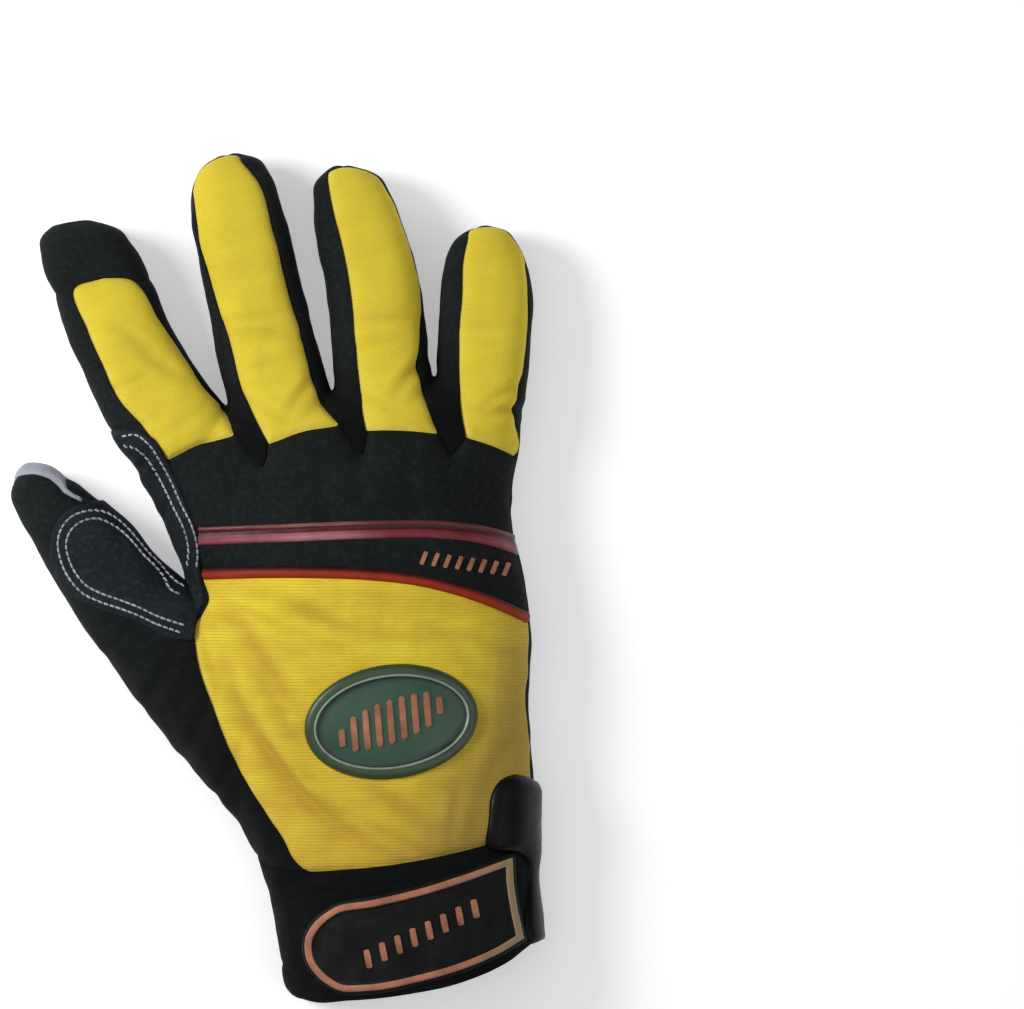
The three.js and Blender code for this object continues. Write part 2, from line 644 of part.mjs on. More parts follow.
// Grey front of the thumb
const thumbSeam = thumbFrontSeam.map((row) => placeOn(thumb, row.y, row.left));
const thumbFrontOutline = [...thumbSeam, ...thumbPalmSeam];
function thumbFrontTool(growth) {
  const front = prism(thumbFrontOutline, below, seamPalm, growth);
  return front.add(prism(thumbCrescent, below, beyond, growth));
}
takePanel('thumb_front', thumbFrontTool, greySuede);

// Grey palm with the fronts of the fingers, and its large dots
const dots = dotRows.flatMap(({ y, first, last, count }) => Array.from({ length: count }, (_, i) => {
  const x = first + ((last - first) * i) / (count - 1);
  const outline = ellipseOutline(x, y, largeDot.halfWidth, largeDot.halfLength, largeDot.sides);
  return prism(outline, 0, palmHeight + wallThickness / 2);
}));
const palmOutline = [
  ...hand.rows.filter((row) => row.y > -60 && row.y < palmRootHeight)
    .map((row) => ({ x: row.right - palmInset, y: row.y })),
  ...palmIndexEdge,
  ...[...thumbPalmSeam].reverse().slice(3, -1),
  { x: 32, y: -70 },
];
function palmTool(growth) {
  const fingers = [indexFinger, middleFinger, ringFinger, littleFinger];
  const fronts = fingers.map((finger) => prism(fingerFrontOutline(finger), below, seamPalm, growth));
  return joined([prism(palmOutline, below, seamPalm, growth), ...fronts]);
}
takePanel('palm_panel', palmTool, greySuede, (panel) => joined([panel, ...dots]));

// What is left of the wall are the black strips at the sides of the fingers, the hand and the thumb
const sideRegions = {
  thumb_back: [
    ...crotchLine, { x: pastThumb, y: 90 }, { x: pastThumb, y: -80 }, { x: -10, y: -80 },
    { x: -10, y: 0 },
  ],
  index_side: [...crotchLine, { x: -100, y: pastTips }, ...[...indexMiddle].reverse()],
  fourchette_index_middle: [...indexMiddle, ...[...middleMiddle].reverse()],
  fourchette_middle_ring: [...middleMiddle, ...[...ringMiddle].reverse()],
  fourchette_ring_little: [...ringMiddle, ...[...littleMiddle].reverse()],
  little_side: [
    ...littleMiddle, { x: pastLittleFinger, y: pastTips }, { x: pastLittleFinger, y: -90 },
    { x: 5, y: -90 },
  ],
};
for (const [name, region] of Object.entries(sideRegions)) {
  const tool = prism(region, below, beyond, -seamGap / 2);
  group.add(meshOf(name, rest.intersect(tool), blackCloth));
}

// Trim laid over the cloth
const over = seamGap;
const tapeTool = prism(stripOutline(tapeLine, tapeWidth, tapeSteps), seamTop, beyond);
group.add(meshOf('reflective_tape', layer(over, tapeRelief).intersect(tapeTool), reflectiveFilm));

const patchTool = prism(patchOutline, equatorHeight, beyond);
group.add(meshOf('crotch_patch', layer(over, patchRelief).intersect(patchTool), blackCloth));

function badgeTool(inset) {
  const { x, y, halfLength, halfWidth, sides } = badge;
  return prism(ellipseOutline(x, y, halfLength - inset, halfWidth - inset, sides), seamTop, beyond);
}
const badgeRim = badgeTool(0).subtract(badgeTool(badge.rim));
const badgeSolid = layer(over, badgeRelief).intersect(badgeTool(0))
  .add(layer(over, badgeRimRelief).intersect(badgeRim));
group.add(meshOf('back_badge', badgeSolid, greenMoulding));

const strapTool = prism(grownOutline(strapOutline, strapBorder), equatorHeight, beyond);
const strap = layer(over, strapRelief).intersect(strapTool).subtract(openEnd);
group.add(meshOf('wrist_strap', strap, blackRubber));

const trimTool = prism(strapOutline, equatorHeight, beyond)
  .subtract(prism(grownOutline(strapOutline, -strapTrimWidth), below, beyond));
const trim = layer(strapRelief + over, trimRelief).intersect(trimTool);
group.add(meshOf('strap_trim', trim, orangeTrim));

const tabTool = prism(tabOutline, equatorHeight, beyond);
const tab = layer(over, tabRelief).intersect(tabTool)
  .subtract(prism(grownOutline(strapOutline, strapBorder + seamGap), below, beyond));
group.add(meshOf('closure_tab', tab, blackRubber));

// Rubber pads under the tips
for (const pad of [...tipPads, thumbPad]) {
  const length = pad === thumbPad ? thumbPadLength : tipPadLength;
  const tool = prism(padOutline(pad, length), below, seamPalm);
  group.add(meshOf(pad.name, layer(over, dotRelief).intersect(tool), blackRubber));
}

// Origin under the middle of the glove's box
const box = new THREE.Box3().setFromObject(group);
const centre = box.getCenter(new THREE.Vector3());
group.position.set(-centre.x, -centre.y, -box.min.z);
group.updateMatrixWorld(true);

export default group;
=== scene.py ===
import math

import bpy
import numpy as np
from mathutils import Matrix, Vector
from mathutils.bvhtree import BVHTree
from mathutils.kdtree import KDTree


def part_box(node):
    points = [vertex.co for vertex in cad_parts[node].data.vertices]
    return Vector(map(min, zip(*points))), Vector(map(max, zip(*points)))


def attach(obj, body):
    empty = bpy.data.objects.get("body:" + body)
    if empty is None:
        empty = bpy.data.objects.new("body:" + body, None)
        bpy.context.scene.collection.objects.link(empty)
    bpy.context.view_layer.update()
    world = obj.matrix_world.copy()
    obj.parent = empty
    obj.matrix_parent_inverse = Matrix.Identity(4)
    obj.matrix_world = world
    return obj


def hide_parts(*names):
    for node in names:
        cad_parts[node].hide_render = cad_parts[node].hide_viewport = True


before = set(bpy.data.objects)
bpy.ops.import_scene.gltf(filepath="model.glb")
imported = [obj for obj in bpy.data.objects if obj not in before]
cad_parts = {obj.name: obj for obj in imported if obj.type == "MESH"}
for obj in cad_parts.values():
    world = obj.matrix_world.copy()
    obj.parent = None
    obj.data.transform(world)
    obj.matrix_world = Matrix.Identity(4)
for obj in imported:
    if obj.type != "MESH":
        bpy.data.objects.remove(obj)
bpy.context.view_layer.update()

# Looks of a mechanic's glove for the right hand, lying palm down. The cloth is skinned over the
# same sections as the frame's solids, cut along its seams into panels, and sewn, puffed and
# creased; the moulded trim, the rubber dots and the stitches are laid on it. Lengths are in
# millimetres on the pattern's own plan until a piece is made, when they become metres in the
# frame's place.

bpy.ops.object.select_all(action="DESELECT")

MM = 0.001

# Heights of the plan: widest part of the glove, underside, and where the seams and the knit end
EQUATOR = 12.0
PALM_LEVEL = 1.2
SEAM_TOP = 15.5
SEAM_PALM = 8.5
KNIT_EDGE = 14.2
CLOTH_LOWEST = 0.3
LOWEST = 0.05

# How round the sections are, on how many sides and how closely they are placed
DOME_EXPONENT = 2.25
FINGER_EXPONENT = 2.75
PALM_EXPONENT = 3.2
SECTION_SIDES = 72
SECTION_STEP = 1.5
FLOOR_SOFTNESS = 0.7

# The cloth: grain of its mesh, thickness, dent along a seam, and how it puffs up beside it
CLOTH_GRAIN = 0.75
CLOTH_THICKNESS = 1.5
PADDED_THICKNESS = 2.2
SEAM_DEPTH = 0.8
SEAM_WIDTH = 0.85
PUFF = 0.45
PUFF_REACH = 2.6
BAND_RELIEF = 0.35

# How far a field is worked out, from how high the surfaces are met, and how deep trim is sunk in
FIELD_REACH = 12.0
RAY_HEIGHT = 100.0
SINK = 0.35

BADGE = {"x": -1.5, "y": -23.5, "half_length": 25.0, "half_width": 16.5}

# The moulding of the badge, ring by ring: inset from its edge and height over the cloth
BADGE_RINGS = [
    (0.0, -0.6), (0.0, 0.8), (0.2, 1.5), (0.7, 2.0), (1.5, 2.2), (2.4, 2.2), (2.9, 2.15),
    (3.0, 2.5), (3.25, 2.7), (3.55, 2.5), (3.75, 1.7), (4.3, 1.5), (6.0, 1.7), (8.0, 1.9),
    (10.5, 2.05), (13.0, 2.1),
]

# The plan's place in the frame, from the badge, which is the same on both
badge_low, badge_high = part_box("back_badge")
PLAN_PLACE = np.array([
    (badge_low.x + badge_high.x) / 2 / MM - BADGE["x"],
    (badge_low.y + badge_high.y) / 2 / MM - BADGE["y"],
    0.0,
])

# Hollow forms: place along, left and right edge from above, rise of the back, drop of the palm side
HAND = [
    (-112, -42, 31.5, 21.6, 12), (-92, -42.2, 31.5, 22.2, 12), (-74, -42.8, 32.6, 22.6, 12),
    (-60, -44.5, 34.8, 22.8, 12), (-46, -49.2, 36.8, 24.2, 12), (-24, -56, 38.2, 25.4, 12),
    (-4, -59.5, 42, 25.6, 12), (12, -57, 42.2, 25.2, 12), (26, -53.8, 41, 24.4, 12),
    (38, -56.6, 42.2, 23.2, 12), (50, -60, 46.2, 21.4, 12), (61, -64, 47.5, 18.8, 11.6),
    (68, -63.5, 47.6, 15.4, 11), (73, -58, 43, 8, 8),
]
INDEX = [
    (57, -60.5, -34, 13.4, 10.6), (66, -67.6, -34.2, 15.8, 11.2), (73, -70.5, -36.6, 14.6, 11.2),
    (84, -74, -42.7, 13, 11.2), (98, -78.1, -49, 12, 11.2), (112, -80.9, -52.7, 11.2, 11.2),
    (124, -83, -56.9, 9.8, 10.5), (130, -81.8, -62, 7.4, 8.6), (132.4, -78.4, -68, 3.8, 4.4),
]
MIDDLE = [
    (57, -33, -5, 17.2, 10.6), (66, -34.6, -5, 17, 11.2), (74, -35.2, -5.9, 15.4, 11.2),
    (85, -36.3, -7.4, 13.6, 11.2), (102, -37.1, -9.6, 12.2, 11.2), (120, -38.2, -11.2, 11.3, 11.2),
    (132, -38, -12.9, 10.3, 10.8), (139.5, -36, -14.9, 8.4, 9.4), (144, -31.8, -18.5, 5.6, 6.6),
    (145.6, -27.6, -23, 2.4, 3),
]
RING = [
    (57, -3, 23, 16.4, 10.6), (66, -4.2, 24, 16.2, 11.2), (74, -4, 23.7, 14.8, 11.2),
    (86, -3.2, 24, 13.2, 11.2), (102, -2.5, 24.2, 12, 11.2), (117, -3.1, 22, 11, 10.9),
    (128, -2.6, 19.1, 9.4, 10.2), (134.6, -0.9, 15.2, 7, 8), (138, 4, 8.2, 2.6, 3.2),
]
LITTLE = [
    (52, 26, 44.6, 12, 10.6), (61, 25, 48.8, 14, 11.2), (70, 25.6, 51.2, 13.4, 11.2),
    (80, 26.8, 53.6, 12.4, 11.2), (92, 29.2, 56, 11.4, 11.2), (102, 31.6, 55.6, 10.4, 10.6),
    (109, 34.4, 53.4, 8.9, 9.7), (113.4, 38.6, 50, 6, 6.9), (115, 42.6, 46, 2.4, 2.9),
]
THUMB = [
    (-16, -66, -36, 12, 11.2), (2, -66.4, -31, 17.2, 11.2), (24, -66.6, -31, 17.2, 11.2),
    (44, -65.5, -33.6, 15.6, 11.2), (60, -64.6, -36.5, 14, 11.2), (74, -62.8, -36.5, 12.8, 11.2),
    (86, -60.6, -38.8, 11.6, 11.2), (96, -58.5, -41.5, 9.9, 10.3), (102, -56.3, -44, 7.4, 8.2),
    (105.3, -51.8, -48, 2.5, 3),
]
THUMB_LEAN = math.radians(31.5)
FORMS = [
    (HAND, 0.0, DOME_EXPONENT), (INDEX, 0.0, FINGER_EXPONENT), (MIDDLE, 0.0, FINGER_EXPONENT),
    (RING, 0.0, FINGER_EXPONENT), (LITTLE, 0.0, FINGER_EXPONENT),
    (THUMB, THUMB_LEAN, DOME_EXPONENT),
]

# Soft dents in the back: middle x and y, reach across and along, depth
DENTS = [
    (-30, 57, 5, 11, 2.4), (0, 58, 5, 11, 2.4), (26, 55, 5, 11, 2.2), (-42, 12, 8, 24, 1.6),
    (-22, -44, 9, 22, 1.2), (20, -38, 8, 26, 1.4), (-5, -66, 60, 6, 1.2), (-53, 88, 9, 5, 1.3),
    (-21, 92, 16, 4, 0.9), (12, 90, 16, 4, 0.9),
]

# Creases: middle x and y, turn in degrees, reach along and across, depth. A crease on the palm side
# has a depth below zero.
CREASES = [
    (-55, 90, -38, 11, 1.8, 0.5), (-60, 97, -30, 8, 1.4, 0.4), (-63, 84, 20, 7, 1.3, 0.25),
    (-50, 70, 30, 8, 1.6, 0.28), (-24, 98, 6, 9, 1.3, 0.35), (-19, 92, -8, 9, 1.4, 0.5),
    (-21, 84, 12, 8, 1.5, 0.35), (-14, 74, 55, 8, 1.6, 0.5), (-24, 70, -30, 7, 1.4, 0.4),
    (14, 92, -5, 8, 1.3, 0.4), (10, 86, 8, 8, 1.4, 0.35), (19, 76, 48, 7, 1.7, 0.8),
    (8, 68, -25, 7, 1.4, 0.35), (42, 86, -6, 8, 1.2, 0.35), (44, 66, 30, 7, 1.3, 0.45),
    (45.5, 61, 5, 5, 1.5, 0.9), (36, 62, -20, 6, 1.2, 0.3),
    (-16, 8.5, -28, 15, 2.2, 0.8), (-32, 10, -29, 11, 1.2, 0.5), (-36, 1, -58, 17, 2.8, 1.0),
    (-38, -27, -61, 24, 2.6, 1.5), (-20, -51, -41, 17, 2.6, 1.3), (0, -50, -35, 16, 2.6, 1.0),
    (-31, -38, -56, 20, 1.5, 0.6), (-34, -13, -62, 18, 1.6, 0.55), (-8, -55, -34, 14, 1.4, 0.5),
    (13, -52, 80, 9, 1.8, 0.35), (31, -6, -22, 12, 2.6, 0.45), (30, -36, 62, 10, 2.4, 0.5),
    (22, -8, -50, 9, 2.6, 0.4), (-45, -6, -76, 12, 2.2, 0.5), (34, -20, 84, 14, 2.4, 0.5),
    (4, 10, -16, 10, 2.6, 0.5),
    (-10, 50, 84, 12, 3.0, 0.35), (14, 48, 96, 12, 3.0, 0.35), (-38, 46, 80, 12, 2.6, 0.35),
    (-66, -2, 58, 15, 2.0, 0.55), (-58, -20, 62, 18, 2.2, 0.6), (-52, -34, 60, 16, 1.8, 0.5),
    (-74, 12, 44, 12, 1.8, 0.4), (-60, 12, -34, 7, 1.4, 0.5), (-88, 46, -30, 8, 1.4, 0.35),
    (-62, 60, 62, 8, 1.2, 0.45), (-57, 46, 75, 9, 1.3, 0.45), (-66, 71, 10, 5, 1.1, 0.4),
    (-28, -80, 88, 8, 2.4, 0.5), (20, -80, 84, 8, 2.6, 0.4), (-36, -66, 12, 8, 1.6, 0.5),
    (-64, 88, -14, 9, 1.3, -0.5), (-58, 76, -20, 9, 1.5, -0.5), (-22, 94, 4, 9, 1.3, -0.5),
    (-18, 78, 0, 10, 1.5, -0.5), (10, 92, 2, 9, 1.3, -0.5), (10, 78, 4, 10, 1.5, -0.5),
    (42, 84, 4, 9, 1.3, -0.5), (38, 70, 8, 9, 1.4, -0.5), (-20, 44, 8, 26, 2.0, -0.6),
    (20, 38, -14, 24, 2.0, -0.6), (-24, 18, 40, 22, 2.2, -0.7), (-30, -14, 76, 24, 2.2, -0.8),
    (0, -44, 4, 22, 2.0, -0.5), (-62, 6, -50, 12, 1.6, -0.5), (-74, 28, -46, 10, 1.5, -0.5),
]

# Yellow finger backs: root seam, rows of height, left and right seam, the end past the tip, and
# the place and turn of the knit's grain
FINGER_BACKS = {
    "index": {
        "root": [(-55, 60), (-46, 63.2), (-35, 65)],
        "rows": [(72, -61.5, -36.4), (80, -67, -41.6), (90, -70, -46.2), (101, -73.2, -51.2),
                 (113.5, -75, -57.6)],
        "end": [(-66, 115.2)],
        "grain": (-55, 60, 15),
    },
    "middle": {
        "root": [(-25.5, 61), (-15, 63.3), (-4.2, 63.6)],
        "rows": [(70, -28.8, -8), (78, -31.4, -9.8), (90, -32.6, -11.3), (105, -35.3, -13.4),
                 (122, -37.3, -15.3), (136, -37.4, -17.3)],
        "end": [(-37.4, 141), (-37.4, 150), (-21.8, 150), (-21.8, 144)],
        "grain": (-20, 60, 3),
    },
    "ring": {
        "root": [(3, 61), (13, 59.8), (24, 57.2)],
        "rows": [(66, 2.7, 21.6), (76, 2.9, 20.8), (86, 3.2, 22.8), (98, 3.9, 24.2),
                 (112, 3.7, 23.2), (126, 2.2, 20.6)],
        "end": [(1.8, 134), (2.4, 145), (21, 145), (20, 133)],
        "grain": (10, 60, -2),
    },
    "little": {
        "root": [(31.5, 55), (39, 51.4), (46.4, 46.6)],
        "rows": [(61, 31.2, 47), (72, 31.6, 51), (84, 33.2, 53.8), (96, 35.8, 55.6),
                 (106, 37.6, 55.6)],
        "end": [(39.8, 112.4), (40, 122), (57, 122), (56, 108)],
        "grain": (38, 55, -8),
    },
}

# Lines of the knuckle band and of what runs along it. The band's upper edge goes up to each finger
# and down between them.
PIPING_LINE = [
    (-49.8, 26.4), (-41.8, 25.5), (-21.7, 22.9), (-4.5, 20), (12.5, 15.7), (29, 8.5), (48, -3.6),
]
PIPING_SIDES = 14
TAPE_LINE = [(-48.6, 37.4), (-25, 34.8), (0, 32.2), (20, 29.4), (32, 26.2), (44, 20.5)]
TAPE_HALF = 2.6
BAND_EDGE = [
    ("curved", [(-56, 60), (-50, 72), (-37, 67), (-34, 65)]),
    ("curved", [(-34, 65), (-31.6, 60), (-28.4, 54.5)]),
    ("curved", [(-28.4, 54.5), (-26.6, 58), (-26, 61)]),
    ("straight", [(-15, 68), (-6, 66), (-4, 63.4)]),
    ("curved", [(-4, 63.4), (-1.6, 59.4), (0.8, 53.8)]),
    ("curved", [(0.8, 53.8), (2.4, 58.2), (3.2, 61)]),
    ("straight", [(12, 66), (22, 61), (24, 57), (26.6, 50.6), (31.6, 55), (40, 58),
                  (45.7, 46.8), (62, 45)]),
]
BAND_THUMB_EDGE = [(-51.2, 42), (-53.2, 50)]
BACK_THUMB_EDGE = [
    (-50.2, 24.4), (-49.2, 19.4), (-53.6, 11.6), (-54.4, 2), (-52, -12), (-47.6, -30), (-41, -46),
    (-36.9, -54.6), (-35.6, -58.4), (-34.2, -60.8), (-31.8, -62.9), (-28, -64.2), (-22, -65.4),
    (-16, -68),
]
CUFF_SEAM = [
    (-60, -63.6), (-33, -65.2), (-20, -65), (-5, -65), (10, -64.7), (22, -64.7), (50, -62.6),
]
CUFF_SEAM_SLOPE = 11.8 / 33.3
CUFF_SEAM_TOP = 34.5
CUFF_EDGE = [
    (-60, -93.4), (-43, -93.8), (-41, -97.4), (-37, -99.9), (-24, -101.8), (-8, -102.3),
    (8, -101.1), (22, -97.2), (32, -91.8), (50, -90.6),
]

# Fold of the cuff over the strap
CUFF_FOLD = [(-52, -68.6), (-38, -69), (-24, -70), (-10, -70.4), (4, -69.6), (18, -67), (30, -63.6)]

# Reinforcement in the crotch of the thumb, and its double white stitching
PATCH_OUTLINE = [
    (-54.6, 8.2), (-60, 8.6), (-70, 15), (-80, 20.4), (-87, 25), (-90.9, 31), (-92, 39.5),
    (-89.9, 46.2), (-85.6, 50.2), (-79, 51.2), (-74, 51.4), (-73, 70.4), (-63, 70.4), (-58.4, 67.2),
    (-55, 60), (-52.2, 50.5), (-50, 41), (-49.4, 33), (-50.2, 24), (-49.8, 19.2), (-54, 12),
]
PATCH_STITCHES = [
    [(-58.2, 10.4), (-65, 14), (-70, 17.3), (-75, 20), (-80, 22.5), (-85, 26), (-88.2, 31),
     (-89.8, 37), (-89.8, 41), (-88.2, 45), (-85, 47.9), (-80.4, 49), (-77.2, 48.7),
     (-74.5, 47.6), (-71.6, 45.2), (-69, 42), (-66.6, 38.2), (-63.9, 34), (-61.6, 31.1),
     (-59.3, 27.4), (-57.5, 25.2), (-55.2, 23.4)],
    [(-56.8, 12.4), (-64, 16), (-69.2, 19.4), (-74.2, 22.2), (-79.2, 24.8), (-83.4, 27.8),
     (-86, 32), (-87.4, 37), (-87.4, 40.6), (-86, 43.6), (-83.6, 45.6), (-80, 46.6),
     (-77.4, 46.4), (-74.6, 44.9), (-71.6, 42.4), (-68.4, 38.4), (-65.8, 34.2), (-62.6, 30),
     (-60.6, 26.4), (-59.7, 23.6), (-57.6, 21.8), (-55, 21.6)],
    [(-67.4, 69), (-63, 68.8), (-60, 66), (-57, 60), (-54.8, 54), (-52.8, 47), (-50.6, 40),
     (-50.1, 33), (-51.2, 27.6)],
    [(-67.4, 66.4), (-64, 65.2), (-61.6, 62.8), (-59, 57.8), (-57, 52.4), (-55, 46), (-53, 39.6),
     (-52.6, 33.6), (-54, 28.2)],
]
STITCH_PITCH = 1.85
STITCH_LENGTH = 1.7
STITCH_THREAD = 0.64
STITCH_RISE = 0.15

# Grey front of the thumb and its seams
THUMB_FRONT_SEAM = [
    (112, -64), (103, -58.5), (95, -54.5), (84, -53.5), (66, -55.5), (44, -57.4), (20, -58.5),
    (-4, -57.6),
]
THUMB_PALM_SEAM = [
    (-36, -70), (-26, -70), (-24.4, -40), (-25, -16), (-28, -1), (-34, 9), (-42, 16), (-52, 22.5),
    (-64, 42), (-74, 56), (-82, 74),
]
THUMB_CRESCENT = [
    (-108, 62.6), (-100, 61.9), (-97, 62.3), (-94.4, 62.2), (-92, 61.3), (-89.6, 60),
    (-87.6, 57.8), (-86, 55.4), (-84.2, 54), (-81.4, 52.2), (-80.6, 53.2), (-83, 54.9),
    (-84.6, 56.6), (-85, 59.4), (-83, 66), (-86, 76), (-108, 76),
]
CRESCENT_SLANT = 6.5
THUMB_GRAIN = (0, 0, 31.5)
PALM_INSET = 2.6
PALM_ROOT = 56.5
PALM_CROTCHES = [(-58.6, 52.5), (-33.5, 55), (-4, 55), (24.5, 54), (43.9, 52.5)]
PALM_INDEX_EDGE = [(44.4, 56.5), (-60, 56.5), (-57, 48), (-54.4, 36), (-53.4, 30), (-54, 25)]
CAP_OUTLINE = [
    (-95, 114), (-75, 113.6), (-66, 115.4), (-57.8, 113.8), (-45, 113.8), (-45, 140), (-95, 140),
]

# Middle lines between which the black side strips lie
CROTCH_LINE = [(-47, 26), (-56, 26), (-66, 46), (-77, 62), (-88, 82)]
INDEX_MIDDLE = [(-47, 45), (-53, 73), (-60, 90), (-66, 110), (-70, 150)]
MIDDLE_MIDDLE = [(-18, 45), (-20.5, 78), (-24, 112), (-26, 150)]
RING_MIDDLE = [(9, 45), (10.3, 85), (10.5, 105), (6, 150)]
LITTLE_MIDDLE = [(34, 42), (38, 70), (41.5, 90), (44.3, 150)]

# Strap and closing tab at the wrist, and the raised bars on strap, band and badge
STRAP_BORDER = 1.3
TRIM_WIDTH = 1.9
PLATE_HEIGHT = 1.5
BAR_SLANT = 14
STRAP_OUTLINE = [
    (26.8, -67.3), (13.6, -70.4), (0, -72.7), (-14, -74), (-25, -74.7), (-30.3, -77.8),
    (-33.7, -82.6), (-34.3, -87.4), (-31.8, -93.4), (-26.6, -98.3), (-19, -99.6), (-4, -99),
    (10, -96.9), (20.6, -93.8), (26.6, -91),
]
STRAP_END = [(26.6, -91), (26.1, -84), (26, -76), (26.8, -67.3)]
TAB_OUTLINE = [
    (29.6, -93.4), (29.6, -66.6), (21.4, -64.2), (22.4, -54.6), (24.4, -48.2), (27.2, -44.8),
    (31, -43.6), (34.4, -44.6), (40, -50), (42, -93.4),
]

# Rubber pads under the tips: outer end, lean in degrees, half widths at the end and at the neck,
# and length
PADS = {
    "tip_pad_index": (-66.5, 129, 8, 6.4, 4.2, 23),
    "tip_pad_middle": (-25, 141.5, -1, 6.6, 4.2, 23),
    "tip_pad_ring": (7.6, 133.5, -5, 6.2, 4, 23),
    "tip_pad_little": (43.8, 110.8, -3, 5.6, 3.8, 23),
    "thumb_pad": (-90, 55.4, 31, 6.6, 5.6, 30),
}

# Rubber dots of the palm: line across, first and last place, count
DOT_HEIGHT = 0.85
FINGER_DOT_PITCH = 4.5
LARGE_DOT_ROWS = [
    (33.5, -43, 3.7, 6), (25.5, -38.4, 5.8, 6), (17.6, -16.4, 27.6, 6), (9.8, -20.2, 25.2, 6),
    (1.6, 19.8, 29.6, 2), (-6, 26.2, 35, 2), (-14, 12, 31, 3), (-21.8, -9.8, 33.8, 6),
    (-29.7, 3, 29.8, 4), (-37.6, 7.4, 32, 4), (-45.2, 12.4, 29.6, 3),
]
SMALL_DOT_ROWS = [
    (34.2, 11.6, 38, 5), (29.8, 14.6, 40.5, 5), (25.4, 13.6, 39.6, 5), (21.2, 35.2, 40, 2),
    (17.2, -29.6, -23.6, 2), (14.4, 33.6, 39, 2), (12.6, -27, -27, 1), (9.4, 32.8, 38.4, 2),
    (2.6, -21.4, 11.8, 7), (2.6, 36.6, 36.6, 1), (-3, -18.6, 15.2, 7), (-8, -15.6, 19.4, 7),
    (-13.7, -18.2, 4.2, 5), (-19, -16.8, -16.8, 1), (-24, -16.8, -16.8, 1), (-28.8, -15.8, -5, 3),
    (-29.6, 36, 36, 1), (-33.4, -19.2, -2.4, 4), (-37.8, -21.6, 0.4, 5), (-42.5, -23.4, 3.6, 6),
    (-47.2, -20.8, 6.8, 6), (-51.4, -17.6, 28, 9),
]
# The same for the fingers: the line along the middle of the dots, from its start to its end
FINGER_DOTS = [
    [(-64.6, 99), (-57.3, 80), (-50.4, 62)], [(-26.2, 119), (-23.4, 90), (-20.6, 62)],
    [(5.6, 109), (7.4, 85), (8.6, 62)], [(43, 86), (40, 72), (36, 61)],
]

# Patterns of the cloth, in cm: ribs of the knit, loops of its yarn, threads of the weave; and how
# strongly lint shows
RIB_PITCH = 0.092
LOOP_PITCH = 0.07
THREAD_PITCH = 0.06
LINT_GAIN = 2.1

# Where the yellow knit is darkened as painted shade, in metres of the frame: towards the heel, and
# towards the side of the little finger on a line that slants, where the back turns away from the
# lamp
SHADE_TO_HEEL = (-0.085, -0.03)
SHADE_TO_SIDE = (0.064, 0.086)
SHADE_SLANT = -0.6

# The reflective film changes in bands along the tape, where a painted highlight comes and goes
FILM_REACH = (-49, 44)
FILM_BANDS = (0.0, 0.22, 0.44, 0.52, 0.76, 0.83, 1.0)

# The cloth is never quite even: waves along x and y, their start, and their height
UNEVENNESS = [
    (0.21, 0.13, 0.3, 0.16), (-0.11, 0.27, 0.2, 0.14), (0.36, -0.22, 0.5, 0.08),
    (0.17, 0.44, -0.4, 0.07), (0.62, 0.31, 0.7, 0.035), (-0.41, 0.71, 0.6, 0.035),
]

# Lamps: place, aim, size and power. The camera looks straight down from far away.
LAMPS = [
    ("key", (-0.52, 0.28, 0.52), (-0.02, 0.02, 0), 0.34, 4.5),
    ("fill", (0.9, -0.5, 1.0), (0, 0, 0), 1.2, 4.1),
    ("overhead", (-0.1, 0.1, 1.5), (0.0, 0, 0), 1.4, 4.1),
]
LENS = 900.0
SENSOR = 36.0
VIEW_WIDTH = 0.29696
VIEW_MIDDLE = (0.06524, 0.01249)
VIEW_TURN = math.radians(-8)


# Lines and outlines on the plan

def eased(at, places, values):
    """Smooth curve through values at rising places."""
    slopes = np.gradient(values, places)
    i = np.clip(np.searchsorted(places, at, side="right") - 1, 0, len(places) - 2)
    gap = places[i + 1] - places[i]
    t = (at - places[i]) / gap
    start, end = (1 + 2 * t) * (1 - t) ** 2, t * t * (3 - 2 * t)
    return (start * values[i] + t * (1 - t) ** 2 * gap * slopes[i]
            + end * values[i + 1] + t * t * (t - 1) * gap * slopes[i + 1])


def run_of(line):
    """Distance along a line at each of its points."""
    return np.concatenate([[0], np.cumsum(np.linalg.norm(np.diff(line, axis=0), axis=1))])


def smooth_line(points, step=1.0):
    """A smooth line through points, with a point about every step."""
    points = np.array(points, float)
    run = run_of(points)
    at = np.linspace(0, run[-1], max(int(run[-1] / step), 2) + 1)
    return np.stack([eased(at, run, column) for column in points.T], 1)


def smooth_loop(points, lead=3):
    """A smooth closed line through points, with a point about every millimetre."""
    wide = np.array(points[-lead:] + points + points[:lead], float)
    run = run_of(wide)
    low, high = run[lead], run[lead + len(points)]
    at = np.linspace(low, high, max(int(high - low), 3) + 1)[:-1]
    return np.stack([eased(at, run, column) for column in wide.T], 1)


def point_at(line, at):
    """The point of a line at a distance along it."""
    run = run_of(line)
    return np.array([np.interp(at, run, column) for column in line.T])


def height_on(line, x):
    """Height of a smooth line that runs across the glove, at places across it."""
    line = np.array(line, float)
    return eased(np.clip(x, line[0, 0], line[-1, 0]), line[:, 0], line[:, 1])


def unit(vectors):
    """Vectors brought to length one."""
    return vectors / np.maximum(np.linalg.norm(vectors, axis=1), 1e-12)[:, None]


def grown(points, distance):
    """A closed outline moved outwards by a distance, its corners kept."""
    following = np.roll(points, -1, 0)
    area = np.sum(points[:, 0] * following[:, 1] - following[:, 0] * points[:, 1])
    before, after = unit(points - np.roll(points, 1, 0)), unit(following - points)
    normal = unit(np.stack([before[:, 1] + after[:, 1], -before[:, 0] - after[:, 0]], 1))
    shortest = 0.4
    stretch = np.maximum(normal[:, 0] * after[:, 1] - normal[:, 1] * after[:, 0], shortest)
    return points + normal * (math.copysign(distance, area) / stretch)[:, None]


